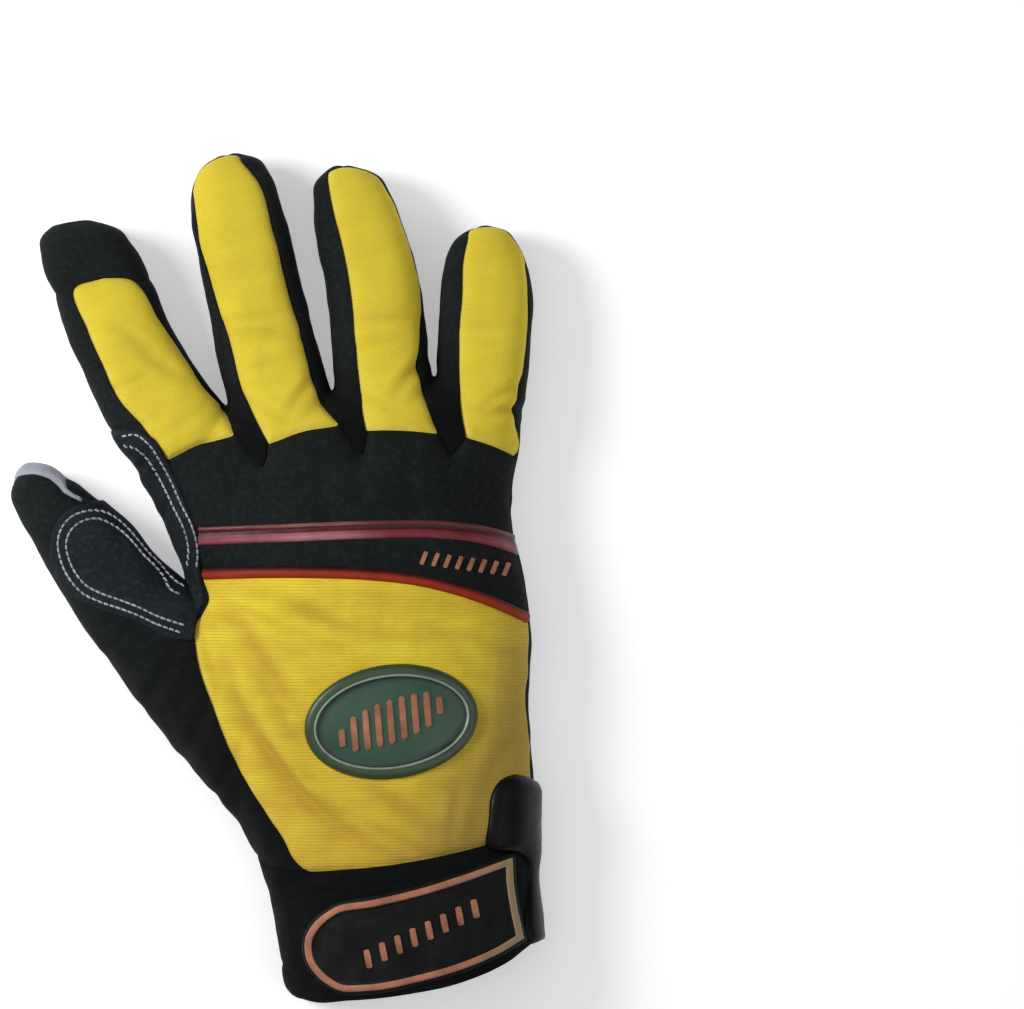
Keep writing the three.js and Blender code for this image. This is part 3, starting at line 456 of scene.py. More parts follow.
def inside(co, outline):
    """How far each point lies inside a closed outline, in mm, below zero outside it."""
    outline = np.array(outline, float)
    low, high = outline.min(0) - FIELD_REACH, outline.max(0) + FIELD_REACH
    near = np.where(((co[:, :2] > low) & (co[:, :2] < high)).all(1))[0]
    x, y = co[near, 0], co[near, 1]
    best = np.full(len(near), FIELD_REACH ** 2)
    odd = np.zeros(len(near), bool)
    for (ax, ay), (bx, by) in zip(outline, np.roll(outline, -1, 0)):
        dx, dy = bx - ax, by - ay
        t = np.clip(((x - ax) * dx + (y - ay) * dy) / (dx * dx + dy * dy + 1e-12), 0, 1)
        best = np.minimum(best, (x - ax - t * dx) ** 2 + (y - ay - t * dy) ** 2)
        if dy:
            odd ^= ((ay > y) != (by > y)) & (x < ax + (y - ay) * dx / dy)
    found = np.full(len(co), -FIELD_REACH)
    found[near] = np.where(odd, 1, -1) * np.sqrt(best)
    return found


def either(first, second, reach=3.0):
    """A field inside either of two, their inner corners rounded."""
    return (first + second + np.sqrt((first - second) ** 2 + reach ** 2)) / 2


def both_of(first, second):
    """A field inside both of two, their outer corners rounded."""
    return -either(-first, -second)


def across_line(co, line):
    """How far each point lies to the left of a line, in mm."""
    best = np.full(len(co), 1e9)
    found = np.zeros(len(co))
    for (ax, ay), (bx, by) in zip(line, line[1:]):
        dx, dy = bx - ax, by - ay
        size = math.hypot(dx, dy)
        t = np.clip(((co[:, 0] - ax) * dx + (co[:, 1] - ay) * dy) / size ** 2, 0, 1)
        gap = np.hypot(co[:, 0] - ax - t * dx, co[:, 1] - ay - t * dy)
        side = (dx * (co[:, 1] - ay) - dy * (co[:, 0] - ax)) / size
        found = np.where(gap < best, side, found)
        best = np.minimum(best, gap)
    return found


def turned(along, across, lean):
    """Place on a leaning form, from its distance along and across."""
    return (across * math.cos(lean) - along * math.sin(lean),
            across * math.sin(lean) + along * math.cos(lean))


# The cloth body

def skin(rows, lean, dome):
    """Vertices and faces of one form through its sections, with dome for how round its back is."""
    rows = np.array(rows, float)
    at = np.append(np.arange(rows[0, 0], rows[-1, 0] - 0.3, SECTION_STEP), rows[-1, 0])
    left, right, rise, drop = (eased(at, rows[:, 0], column) for column in rows.T[1:])
    angle = np.arange(SECTION_SIDES) * 2 * math.pi / SECTION_SIDES
    cos, sin = np.cos(angle), np.sin(angle)
    power = 2 / np.where(sin > 0, dome, PALM_EXPONENT)
    across, up = (np.sign(part) * np.abs(part) ** power for part in (cos, sin))
    x = ((left + right) / 2)[:, None] + ((right - left) / 2)[:, None] * across
    x, y = turned(np.repeat(at[:, None], SECTION_SIDES, 1), x, lean)
    dent = sum(depth * np.exp(-((x - dx) / rx) ** 2 - ((y - dy) / ry) ** 2)
               for dx, dy, rx, ry, depth in DENTS)
    z = EQUATOR + np.where(up > 0, rise[:, None] * up - up * dent, drop[:, None] * up)
    n, rings = SECTION_SIDES, len(at)
    faces = [(r * n + i, r * n + n + i, r * n + n + (i + 1) % n, r * n + (i + 1) % n)
             for r in range(rings - 1) for i in range(n)]
    faces += [tuple(range(n)), tuple(reversed(range((rings - 1) * n, rings * n)))]
    return np.stack([x, y, z], 2).reshape(-1, 3), faces


def work_on(piece):
    bpy.ops.object.select_all(action="DESELECT")
    piece.select_set(True)
    bpy.context.view_layer.objects.active = piece


def apply_modifier(piece, kind, **settings):
    work_on(piece)
    added = piece.modifiers.new(kind.lower(), kind)
    for key, value in settings.items():
        setattr(added, key, value)
    bpy.ops.object.modifier_apply(modifier=added.name)


def read_mesh(piece):
    """Vertices and triangles of a piece's mesh as arrays."""
    mesh = piece.data
    co = np.zeros(len(mesh.vertices) * 3)
    mesh.vertices.foreach_get("co", co)
    mesh.calc_loop_triangles()
    tri = np.zeros(len(mesh.loop_triangles) * 3, np.int64)
    mesh.loop_triangles.foreach_get("vertices", tri)
    return co.reshape(-1, 3), tri.reshape(-1, 3)


def template(piece):
    """Takes a modelled piece's vertices and triangles and clears it away."""
    co, tri = read_mesh(piece)
    bpy.data.objects.remove(piece)
    return co, tri


def vertex_normals(co, tri):
    a, b, c = co[tri[:, 0]], co[tri[:, 1]], co[tri[:, 2]]
    face = np.cross(b - a, c - a)
    normals = np.zeros_like(co)
    for k in range(3):
        for axis in range(3):
            normals[:, axis] += np.bincount(tri[:, k], face[:, axis], len(co))
    return unit(normals)


def cloth_body():
    """The whole glove as one closed skin, its forms melted together and settled on the floor."""
    verts, faces = [], []
    for rows, lean, dome in FORMS:
        start = sum(len(part) for part in verts)
        part_verts, part_faces = skin(rows, lean, dome)
        verts.append(part_verts)
        faces += [tuple(i + start for i in face) for face in part_faces]
    mesh = bpy.data.meshes.new("cloth_body")
    mesh.from_pydata([tuple(v) for v in np.concatenate(verts) * MM], [], faces)
    melted = bpy.data.objects.new("cloth_body", mesh)
    bpy.context.scene.collection.objects.link(melted)
    apply_modifier(melted, "REMESH", mode="VOXEL", voxel_size=CLOTH_GRAIN * MM)
    apply_modifier(melted, "SMOOTH", factor=0.5, iterations=14)
    co, tri = template(melted)
    co /= MM
    low = co[:, 2] - PALM_LEVEL
    settled = FLOOR_SOFTNESS * np.log1p(np.exp(np.minimum(low / FLOOR_SOFTNESS, 8)))
    co[:, 2] = PALM_LEVEL + np.where(low > 6 * FLOOR_SOFTNESS, low, settled)
    return co, tri


def crease_lift(co, normals):
    """At each point, how high creases and unevenness lift the cloth, and how deep its fold is; the
    fold later darkens the knit as painted shade.
    """
    lift, fold = np.zeros(len(co)), np.zeros(len(co))
    for x, y, turn, along, across, depth in CREASES:
        cos, sin = math.cos(math.radians(turn)), math.sin(math.radians(turn))
        u = ((co[:, 0] - x) * cos + (co[:, 1] - y) * sin) / along
        v = (-(co[:, 0] - x) * sin + (co[:, 1] - y) * cos) / across
        v = v + 0.35 * np.sin(2.2 * u)
        groove = -np.exp(-v * v) + 0.45 * np.exp(-(v - 1.9) ** 2) + 0.3 * np.exp(-(v + 1.9) ** 2)
        side = np.clip(normals[:, 2] * 2.5 * np.sign(depth) + 0.6, 0, 1)
        lift += abs(depth) * groove * np.exp(-u * u) * side
        fold += min(abs(depth), 1.0) * np.exp(-v * v - u * u) * side
    x, y, z = co.T
    for k, (fx, fy, fz, size) in enumerate(UNEVENNESS):
        lift += (size * np.sin(fx * x + fy * y + fz * z + 1.7 * k)
                 * np.sin(0.7 * fy * x - 0.8 * fx * y + 0.9 * k))
    return np.column_stack([lift, np.clip(fold, 0, 1)])


# Cutting along seams. A patch is its rows of place, normal, lift and fold, and its triangles.

def one_side(patch, field, sign):
    """The part of a patch on one side of a field's zero line, cut clean along it."""
    data, tri = patch
    keep = field * sign > 0
    count = keep[tri].sum(1)
    total = len(data)
    corners = []
    for n, wanted in ((1, True), (2, False)):
        part = tri[count == n]
        k = (keep[part] == wanted).argmax(1)
        row = np.arange(len(part))
        corners.append((part[row, k], part[row, (k + 1) % 3], part[row, (k + 2) % 3]))
    ends = [np.stack([p, q], 1) for a, b, c in corners for p, q in ((a, b), (c, a))]
    ends = np.sort(np.concatenate(ends), 1)
    keys, back = np.unique(ends[:, 0] * total + ends[:, 1], return_inverse=True)
    back = back.reshape(-1) + total
    low, high = keys // total, keys % total
    share = (field[low] / (field[low] - field[high]))[:, None]
    added = data[low] + share * (data[high] - data[low])
    (a1, _, _), (a2, b2, c2) = corners
    n1, n2 = len(a1), len(a2)
    ab1, ca1, ab2, ca2 = np.split(back, [n1, 2 * n1, 2 * n1 + n2])
    made = np.concatenate([tri[count == 3], np.stack([a1, ab1, ca1], 1),
                           np.stack([ab2, b2, c2], 1), np.stack([ab2, c2, ca2], 1)])
    used, made = np.unique(made, return_inverse=True)
    return np.concatenate([data, added])[used], made.reshape(-1, 3)


def split(patch, field):
    """The parts of a patch where a field is above and below zero."""
    field = np.where(np.abs(field) < 1e-3, 1e-3, field)
    return one_side(patch, field, 1), one_side(patch, field, -1)


def without_crumbs(patch, least=60):
    """A patch without the tiny loose bits that a cut can leave."""
    data, tri = patch
    label = np.arange(len(data))
    while True:
        low = label[tri].min(1)
        new = label.copy()
        for k in range(3):
            np.minimum.at(new, tri[:, k], low)
        new = new[new]
        if (new == label).all():
            break
        label = new
    size = np.bincount(label[tri[:, 0]], minlength=len(data))
    tri = tri[size[label[tri[:, 0]]] >= least]
    used, made = np.unique(tri, return_inverse=True)
    return data[used], made.reshape(-1, 3)


def edges_of(tri):
    """The three edges of each triangle, in its direction."""
    return np.concatenate([tri[:, (0, 1)], tri[:, (1, 2)], tri[:, (2, 0)]])


def finer(patch):
    """A patch with each triangle cut in four, kept round by its normals."""
    data, tri = patch
    total = len(data)
    ends = np.sort(edges_of(tri), 1)
    keys, back = np.unique(ends[:, 0] * total + ends[:, 1], return_inverse=True)
    ab, bc, ca = back.reshape(3, -1) + total
    a, b = data[keys // total], data[keys % total]
    middle = (a + b) / 2
    for end in (a, b):
        off = ((middle[:, :3] - end[:, :3]) * end[:, 3:6]).sum(1)
        middle[:, :3] -= 0.35 * off[:, None] * end[:, 3:6]
    middle[:, 3:6] = unit(middle[:, 3:6])
    corners = [(tri[:, 0], ab, ca), (ab, tri[:, 1], bc), (ca, bc, tri[:, 2]), (ab, bc, ca)]
    return np.concatenate([data, middle]), np.concatenate([np.stack(c, 1) for c in corners])


def rim_of(tri):
    """Edges that only one triangle has, in its direction."""
    ends = edges_of(tri)
    size = ends.max() + 1
    return ends[~np.isin(ends[:, 0] * size + ends[:, 1], ends[:, 1] * size + ends[:, 0])]


def rim_distance(patch, skip=None):
    """Distance from each point of a patch to its rim, without the rim's part that skip picks."""
    data, tri = patch
    rim = rim_of(tri)
    a, b = data[rim[:, 0], :3], data[rim[:, 1], :3]
    if skip is not None:
        kept = ~skip((a + b) / 2)
        a, b = a[kept], b[kept]
    tree = KDTree(len(a))
    for i, middle in enumerate((a + b) / 2):
        tree.insert(middle, i)
    tree.balance()
    nearest = np.array([[hit[1] for hit in tree.find_n(p, 3)] for p in data[:, :3]])
    best = np.full(len(data), 1e9)
    for column in nearest.T:
        p, q = a[column], b[column]
        along = q - p
        t = ((data[:, :3] - p) * along).sum(1) / np.maximum((along ** 2).sum(1), 1e-9)
        gap = data[:, :3] - p - np.clip(t, 0, 1)[:, None] * along
        best = np.minimum(best, np.linalg.norm(gap, axis=1))
    return best


# Making pieces

def in_frame(co):
    return (co + PLAN_PLACE) * MM


def raised(patch, height):
    """The places of a patch, raised along their normals."""
    return patch[0][:, :3] + patch[0][:, 3:6] * np.reshape(height, (-1, 1))


def plan_map(co):
    """A map of the pattern as it lies on the plan, in centimetres."""
    return co[:, :2] / 10


def repeated(tri, size, count):
    """The triangles of a shape with so many points, for each of its copies."""
    return (tri[None] + (np.arange(count) * size)[:, None, None]).reshape(-1, 3)


def fill_mesh(name, co, tri, uv=None, slots=None, values=()):
    """A mesh object from arrays, with its own map of the pattern where it has one."""
    mesh = bpy.data.meshes.new(name)
    mesh.vertices.add(len(co))
    mesh.vertices.foreach_set("co", np.ascontiguousarray(in_frame(co), np.float32).ravel())
    mesh.loops.add(tri.size)
    mesh.loops.foreach_set("vertex_index", np.ascontiguousarray(tri, np.int32).ravel())
    mesh.polygons.add(len(tri))
    mesh.polygons.foreach_set("loop_start", np.arange(0, tri.size, 3, dtype=np.int32))
    mesh.polygons.foreach_set("loop_total", np.full(len(tri), 3, np.int32))
    if slots is not None:
        mesh.polygons.foreach_set("material_index", np.ascontiguousarray(slots, np.int32))
    if uv is not None:
        set_map(mesh, uv[tri.ravel()])
    for key, value in dict(values).items():
        layer = mesh.attributes.new(key, "FLOAT", "POINT")
        layer.data.foreach_set("value", np.ascontiguousarray(value, np.float32))
    mesh.update(calc_edges=True)
    mesh.validate()
    made = bpy.data.objects.new(name, mesh)
    bpy.context.scene.collection.objects.link(made)
    return made


def set_map(mesh, corner_uv):
    layer = mesh.uv_layers.new(name="pattern")
    layer.data.foreach_set("uv", np.ascontiguousarray(corner_uv, np.float32).ravel())


def finish_piece(piece, materials, node=None, angle=50):
    """Gives a piece its materials and its smooth shading, sets it under the frame's root body, and
    hides the frame's part that it stands for.
    """
    for material in materials:
        piece.data.materials.append(material)
    work_on(piece)
    bpy.ops.object.shade_smooth_by_angle(angle=math.radians(angle))
    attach(piece, "root")
    if node:
        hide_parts(node)
    return piece


def closed_wall(outer, inner, tri):
    """A closed wall between two layers of the same triangles."""
    total = len(outer)
    a, b = rim_of(tri).T
    sides = np.concatenate([np.stack([b, a, a + total], 1), np.stack([b, a + total, b + total], 1)])
    return np.concatenate([outer, inner]), np.concatenate([tri, tri[:, ::-1] + total, sides])


def hem_height(co):
    """The turned hem of the cuff: its roll, and the row of stitches pulled into it."""
    edge = cuff_edge_distance(co)
    return 0.5 * np.exp(-((edge - 3.2) / 2.6) ** 4) - 0.28 * np.exp(-((edge - 7.0) / 0.7) ** 2)


def fold_height(co):
    """The fold of the cuff over the strap."""
    off = across_line(co, smooth_line(CUFF_FOLD))
    return -0.4 * np.exp(-(off / 0.6) ** 2) * (co[:, 2] > EQUATOR)


cloth_skins = []


def sew_panel(name, patch, finish, node, grain=(0, 0, 0), relief=0.0, groove=SEAM_DEPTH,
              thickness=CLOTH_THICKNESS, free=None, shaped=()):
    """A cloth panel: its edges roll down into the seams, and it puffs up between them. Its grain is
    the start and the lean of the pattern, free picks its unsewn edge, shaped adds to its height."""
    data, tri = without_crumbs(patch)
    co, normals, lift, deep = data[:, :3], data[:, 3:6], data[:, 6], data[:, 7]
    seam = rim_distance((data, tri), free)
    height = (lift - groove * np.exp(-(seam / SEAM_WIDTH) ** 2)
              + (PUFF + relief) * (1 - np.exp(-(seam / PUFF_REACH) ** 1.5)))
    for added in shaped:
        height = height + added(co)
    outer = co + normals * height[:, None]
    outer[:, 2] = np.maximum(outer[:, 2], CLOTH_LOWEST)
    inner = co + normals * (np.minimum(lift, 0) * 0.6 - thickness)[:, None]
    cloth_skins.append((outer, tri))
    walls, faces = closed_wall(outer, inner, tri)
    lean = math.radians(grain[2])
    across, along = co[:, 0] - grain[0], co[:, 1] - grain[1]
    uv = np.stack([across * math.cos(lean) + along * math.sin(lean),
                   -across * math.sin(lean) + along * math.cos(lean)], 1) / 10
    slots = np.zeros(len(faces), int)
    slots[len(tri):2 * len(tri)] = 1
    # fold marks the creases, where the knit is darkened as painted shade
    values = {"edge": np.tile(np.exp(-(seam / 1.1) ** 2), 2), "fold": np.tile(deep, 2)}
    made = fill_mesh(name, walls, faces, np.tile(uv, (2, 1)), slots, values)
    return finish_piece(made, [finish, lining], node)


def rounded(distance, radius):
    """Rise of a rounded edge, from 0 at the edge to 1 at its radius."""
    t = np.clip(distance / radius, 0, 1)
    return np.sqrt(np.maximum(1 - (1 - t) ** 2, 0))


def moulded(name, patch, height, finish, node, bottom=-0.4, uv=None):
    """A moulded or laid-on piece between a bottom and a height over the cloth."""
    top = raised(patch, height)
    top[:, 2] = np.maximum(top[:, 2], LOWEST)
    walls, faces = closed_wall(top, raised(patch, bottom), patch[1])
    made = fill_mesh(name, walls, faces, None if uv is None else np.tile(uv, (2, 1)))
    return finish_piece(made, [finish], node, angle=60)


class Surface:
    """A skin that pieces are laid on, from above or from below."""

    def __init__(self, co, tri):
        self.co, self.tri = co, tri
        self.normals = vertex_normals(co, tri)
        self.tree = BVHTree.FromPolygons([tuple(p) for p in co], [tuple(t) for t in tri.tolist()])

    def at(self, x, y, up=True):
        """Place and smooth normal at a point of the plan."""
        sign = 1 if up else -1
        start = Vector((x, y, RAY_HEIGHT * sign))
        hit, normal, face, _ = self.tree.ray_cast(start, Vector((0, 0, -sign)))
        if hit is None or not up and hit.z > EQUATOR:
            beside = Vector((x, y, EQUATOR if up else PALM_LEVEL))
            hit, normal, face, _ = self.tree.find_nearest(beside)
        corners = self.tri[face]
        gaps = np.linalg.norm(self.co[corners] - np.array(hit), axis=1) + 1e-6
        smooth = (self.normals[corners] / gaps[:, None]).sum(0)
        return np.array(hit), smooth / np.linalg.norm(smooth)

    def many(self, points, up=True):
        found = [self.at(x, y, up) for x, y in points]
        return np.array([f[0] for f in found]), np.array([f[1] for f in found])


# Shapes modelled once

def edit_all():
    bpy.ops.object.mode_set(mode="EDIT")
    bpy.ops.mesh.select_all(action="SELECT")


def drawn_out(sides, start, steps):
    """A closed relief drawn out of a disc: the disc's growth along X and Y and its height, and the
    same growth and a rise for each step."""
    bpy.ops.mesh.primitive_circle_add(vertices=sides, fill_type="NGON", location=(0, 0, 0))
    made = bpy.context.object
    edit_all()
    for k, (along, across, rise) in enumerate([start] + steps):
        if k:
            bpy.ops.mesh.extrude_region_move()
        bpy.ops.transform.resize(value=(along, across, 1))
        bpy.ops.transform.translate(value=(0, 0, rise))
    bpy.ops.mesh.poke()
    bpy.ops.mesh.select_all(action="SELECT")
    bpy.ops.mesh.normals_make_consistent(inside=False)
    bpy.ops.object.mode_set(mode="OBJECT")
    return made


def dot_shape():
    """A rounded rubber puck, its radius one and its height about one."""
    steps = [(0.97, 0.97, 0.5), (0.84, 0.84, 0.3), (0.5, 0.5, 0.16)]
    return template(drawn_out(12, (1, 1, 0), steps))


def stitch_shape():
    """One stitch of thick thread along X, pulled down at both ends."""
    bpy.ops.mesh.primitive_cylinder_add(vertices=7, radius=1, depth=2, rotation=(0, math.pi / 2, 0))
    thread = bpy.context.object
    bpy.ops.object.transform_apply(location=True, rotation=True, scale=True)
    bpy.ops.object.mode_set(mode="EDIT")
    for x in (-0.6, 0.6):
        bpy.ops.mesh.select_all(action="SELECT")
        bpy.ops.mesh.bisect(plane_co=(x, 0, 0), plane_no=(1, 0, 0))
    bpy.ops.object.mode_set(mode="OBJECT")
    for vertex in thread.data.vertices:
        if abs(vertex.co.x) > 0.9:
            vertex.co.y *= 0.55
            vertex.co.z = vertex.co.z * 0.55 - 0.8
    return template(thread)


def bar_shape():
    """A small bar with softened edges, one long each way."""
    bpy.ops.mesh.primitive_cube_add(size=1, location=(0, 0, 0.5))
    bar = bpy.context.object
    bpy.ops.object.transform_apply(location=True, rotation=True, scale=True)
    edit_all()
    bpy.ops.mesh.subdivide(number_cuts=1)
    bpy.ops.mesh.select_all(action="SELECT")
    bpy.ops.mesh.vertices_smooth(factor=0.35)
    bpy.ops.object.mode_set(mode="OBJECT")
    return template(bar)


# Shapes laid on a surface

def stitched(name, surface, lines):
    """White stitches along lines on a surface."""
    shape, tri = stitch_shape()
    laid = []
    for line in lines:
        line = smooth_line(line, 0.5)
        for k in range(int(run_of(line)[-1] / STITCH_PITCH)):
            at = (k + 0.5) * STITCH_PITCH
            start, end = point_at(line, at - 0.4), point_at(line, at + 0.4)
            hit, normal = surface.at(*(start + end) / 2)
            along = np.append(end - start, 0.0)
            along -= normal * (along @ normal)
            along /= np.linalg.norm(along)
            axes = np.array([along, np.cross(normal, along), normal])
            half = STITCH_LENGTH / 2 * (1 + 0.08 * math.sin(5.1 * k))
            size = (half, STITCH_THREAD / 2, STITCH_THREAD / 2)
            laid.append(hit + normal * STITCH_RISE + (shape * size) @ axes)
    made = fill_mesh(name, np.concatenate(laid), repeated(tri, len(shape), len(laid)))
    return finish_piece(made, [white_thread])


def laid_shapes(shape, spots, surface, up=True, limit=None, lowest=None):
    """A small shape laid at many spots: x, y, its half sizes, its turn in degrees and its height.
    Where a limit is near, each point is drawn in until it is inside."""
    co, tri = shape
    spots = np.array(spots, float)
    turn = np.radians(spots[:, 4])[:, None]
    u, v = co[:, 0] * spots[:, 2:3], co[:, 1] * spots[:, 3:4]
    du, dv = u * np.cos(turn) - v * np.sin(turn), u * np.sin(turn) + v * np.cos(turn)
    if limit is not None:
        low, high = np.zeros_like(du), np.ones_like(du)
        middle = np.repeat(spots[:, None, :2], len(co), 1)
        step = np.stack([du, dv], 2)
        for k in range(7):
            share = high if k == 0 else (low + high) / 2
            spot = (middle + step * share[:, :, None]).reshape(-1, 2)
            fits = limit(spot).reshape(share.shape) > 0
            low, high = np.where(fits, share, low), np.where(fits, high, share)
        du, dv = du * low, dv * low
    x, y = spots[:, 0:1] + du, spots[:, 1:2] + dv
    rise = co[:, 2] * spots[:, 5:6] - SINK * (co[:, 2] < 0.01)
    places, normals = surface.many(np.stack([x, y], 2).reshape(-1, 2), up)
    laid = places + normals * rise.reshape(-1, 1)
    if lowest is not None:
        laid[:, 2] = np.maximum(laid[:, 2], lowest)
    return laid, repeated(tri, len(co), len(spots))


def grip_bars(name, surface, start, end, count, width, length, height, taper=0.0):
    """Slanted bars in a row, shorter towards its ends by a taper from 0 to 1."""
    start, end = np.array(start, float), np.array(end, float)
    lean = math.degrees(math.atan2(end[1] - start[1], end[0] - start[0]))
    spots = []
    for share in np.linspace(0, 1, count):
        size = length * (1 - taper + taper * math.sqrt(1 - (2 * share - 1) ** 2))
        spots.append((*(start + (end - start) * share), width, size, lean - BAR_SLANT, height))
    made = fill_mesh(name, *laid_shapes(bar_shape(), spots, surface))
    return finish_piece(made, [orange_trim])


def sweep(path, normals, profile):
    """A closed cord along a path: profile is its section, across and out."""
    along = unit(np.gradient(path, axis=0))
    across = unit(np.cross(normals, along))
    out = np.cross(along, across)
    rings = (path[:, None] + across[:, None] * profile[None, :, :1]
             + out[:, None] * profile[None, :, 1:])
    count, n = len(path), len(profile)
    tri = []
    for r in range(count - 1):
        for i in range(n):
            a, b = r * n + i, r * n + (i + 1) % n
            tri += [(a, b, b + n), (a, b + n, a + n)]
    first, last = count * n, count * n + 1
    for i in range(n):
        j = (i + 1) % n
        tri += [(first, j, i), (last, first - n + i, first - n + j)]
    return np.concatenate([rings.reshape(-1, 3), path[:1], path[-1:]]), np.array(tri)


# Materials

def tone(red, green, blue):
    """A colour as seen, 0 to 255, as the shader takes it."""
    def linear(value):
        value /= 255
        return value / 12.92 if value <= 0.04045 else ((value + 0.055) / 1.055) ** 2.4
    return (linear(red), linear(green), linear(blue), 1.0)


class Finish:
    """A material being built up from nodes."""

    def __init__(self, name, roughness, **settings):
        self.material = bpy.data.materials.new(name)
        self.material.use_nodes = True
        self.nodes = self.material.node_tree.nodes
        self.links = self.material.node_tree.links
        self.shader = self.nodes["Principled BSDF"]
        self.shader.inputs["Roughness"].default_value = roughness
        for key, value in settings.items():
            self.shader.inputs[key.replace("_", " ")].default_value = value

    def node(self, kind, inputs=(), **settings):
        made = self.nodes.new("ShaderNode" + kind)
        for key, value in settings.items():
            setattr(made, key, value)
        for key, value in dict(inputs).items():
            self.feed(made.inputs[key], value)
        return made

    def feed(self, socket, value):
        if isinstance(value, bpy.types.NodeSocket):
            self.links.new(value, socket)
        else:
            socket.default_value = value

    def place(self):
        return self.node("TexCoord").outputs["Object"]

    def value(self, name):
        """A piece's own value: edge is 1 at a seam, and fold is 1 down in a crease, where the knit
        is darkened as painted shade.
        """
        return self.node("Attribute", attribute_name=name).outputs["Fac"]

    def pattern(self):
        return self.node("UVMap", uv_map="pattern").outputs["UV"]

    def scaled(self, vector, scale):
        return self.node("VectorMath", {0: vector, 1: scale}, operation="MULTIPLY").outputs[0]

    def noise(self, vector, scale, detail=3.0, roughness=0.55):
        inputs = {"Vector": vector, "Scale": scale, "Detail": detail, "Roughness": roughness}
        return self.node("TexNoise", inputs).outputs["Fac"]

    def maths(self, operation, a, b=0.0, c=0.0):
        return self.node("Math", {0: a, 1: b, 2: c}, operation=operation).outputs[0]

    def summed(self, value, *layers):
        """A value with layers added to it, each with its gain and its offset."""
        for layer, gain, offset in layers:
            value = self.maths("ADD", value, self.maths("MULTIPLY_ADD", layer, gain, offset))
        return value

    def parts(self, vector):
        return self.node("SeparateXYZ", {0: vector}).outputs

    def spread(self, value, low, high, to_low=0.0, to_high=1.0):
        inputs = {"Value": value, "From Min": low, "From Max": high, "To Min": to_low,
                  "To Max": to_high}
        return self.node("MapRange", inputs).outputs[0]

    def blend(self, share, first, second):
        return self.node("Mix", {0: share, 6: first, 7: second}, data_type="RGBA").outputs[2]

    def ramp(self, value, stops):
        made = self.node("ValToRGB", {0: value})
        elements = made.color_ramp.elements
        while len(elements) < len(stops):
            elements.new(0.5)
        for element, (at, colour) in zip(elements, stops):
            element.position, element.color = at, colour
        return made.outputs[0]

    def aged(self, colour, wear, darkest, lightest):
        """A colour whose value changes with the wear."""
        value = self.spread(wear, 0.3, 0.75, darkest, lightest)
        return self.node("HueSaturation", {"Color": colour, "Value": value}).outputs[0]

    def colour(self, value):
        self.feed(self.shader.inputs["Base Color"], value)

    def rough(self, value, roughness, below):
        """Roughness that changes with a value, from below its middle to a little above it."""
        spread = self.spread(value, 0.3, 0.7, roughness - below, roughness + 0.12)
        self.feed(self.shader.inputs["Roughness"], spread)

    def bumps(self, *layers):
        """Bumps one over another: height, strength and distance in metres."""
        inputs = {}
        for height, strength, distance in layers:
            inputs.update({"Height": height, "Strength": strength, "Distance": distance})
            inputs["Normal"] = self.node("Bump", inputs).outputs[0]
        self.feed(self.shader.inputs["Normal"], inputs["Normal"])


def knit_finish(name, light, dark, pale, deep, ribs, shade_tones=()):
    """Ribbed stretch knit: rounded ribs across, with their loops, mottled, pale along its seams,
    and darkened in its folds as painted shade. With shade tones it is darkened as painted shade
    towards the heel and the little finger's side."""
    f = Finish(name, 0.9, Sheen_Weight=0.06, Sheen_Roughness=0.5, Specular_IOR_Level=0.25)
    pattern, place = f.pattern(), f.place()
    edge = f.value("edge")
    u, v, _ = f.parts(pattern)
    bend = f.maths("MULTIPLY_ADD", f.noise(pattern, 1.1, 2.0), 0.05, v)
    rib = f.maths("ABSOLUTE", f.maths("SINE", f.maths("MULTIPLY", bend, math.pi / RIB_PITCH)))
    rib = f.maths("POWER", rib, 0.7)
    row = f.maths("FLOOR", f.maths("DIVIDE", bend, RIB_PITCH))
    loop = f.maths("MULTIPLY_ADD", u, 2 * math.pi / LOOP_PITCH, f.maths("MULTIPLY", row, math.pi))
    loop = f.maths("MULTIPLY_ADD", f.maths("SINE", loop), 0.5, 0.5)
    fuzz = f.noise(place, 2600.0, 2.0)
    mottle = f.noise(place, 60.0, 4.0, 0.6)
    broad = f.noise(place, 16.0, 2.0)
    fleck = f.noise(f.scaled(pattern, (5.0, 14.0, 1.0)), 1.0, 3.0, 0.7)
    uneven = f.noise(f.scaled(pattern, (0.5, 1.6, 1.0)), 1.0, 2.0)
    ribbing = f.maths("MULTIPLY", rib, f.spread(uneven, 0.35, 0.65, 0.4 * ribs, 1.3 * ribs))
    shade = f.maths("MULTIPLY_ADD", ribbing, 0.7, f.maths("MULTIPLY", loop, 0.08))
    shade = f.summed(shade, (fleck, 0.5, 0.18 - 0.475 * ribs), (mottle, 0.5, -0.15),
                     (broad, 0.4, -0.2))
    cloth = f.blend(f.spread(shade, 0.1, 0.9), dark, light)
    beside_seam = f.maths("MULTIPLY", f.spread(edge, 0.12, 0.4), f.spread(edge, 0.95, 0.6))
    rubbed = f.maths("MULTIPLY", beside_seam, f.spread(mottle, 0.3, 0.7, 0.05, 0.35))
    cloth = f.blend(rubbed, cloth, pale)
    # Painted shade down in the creases
    cloth = f.blend(f.maths("MULTIPLY", f.value("fold"), 0.5), cloth, deep)
    # Painted shade: darker towards the heel, and towards the little finger's side where the back
    # turns from the lamp
    if shade_tones:
        x, y, _ = f.parts(place)
        slanted = f.maths("MULTIPLY_ADD", y, SHADE_SLANT, x)
        cloth = f.blend(f.spread(y, *SHADE_TO_HEEL, 0.5, 0.0), cloth, shade_tones[0])
        cloth = f.blend(f.spread(slanted, *SHADE_TO_SIDE, 0.0, 0.75), cloth, shade_tones[1])
    f.colour(cloth)
    f.bumps((rib, 0.6, 0.0002 * ribs), (loop, 0.4, 0.0001), (fleck, 0.3, 0.00016),
            (fuzz, 0.25, 0.00008))
    return f.material


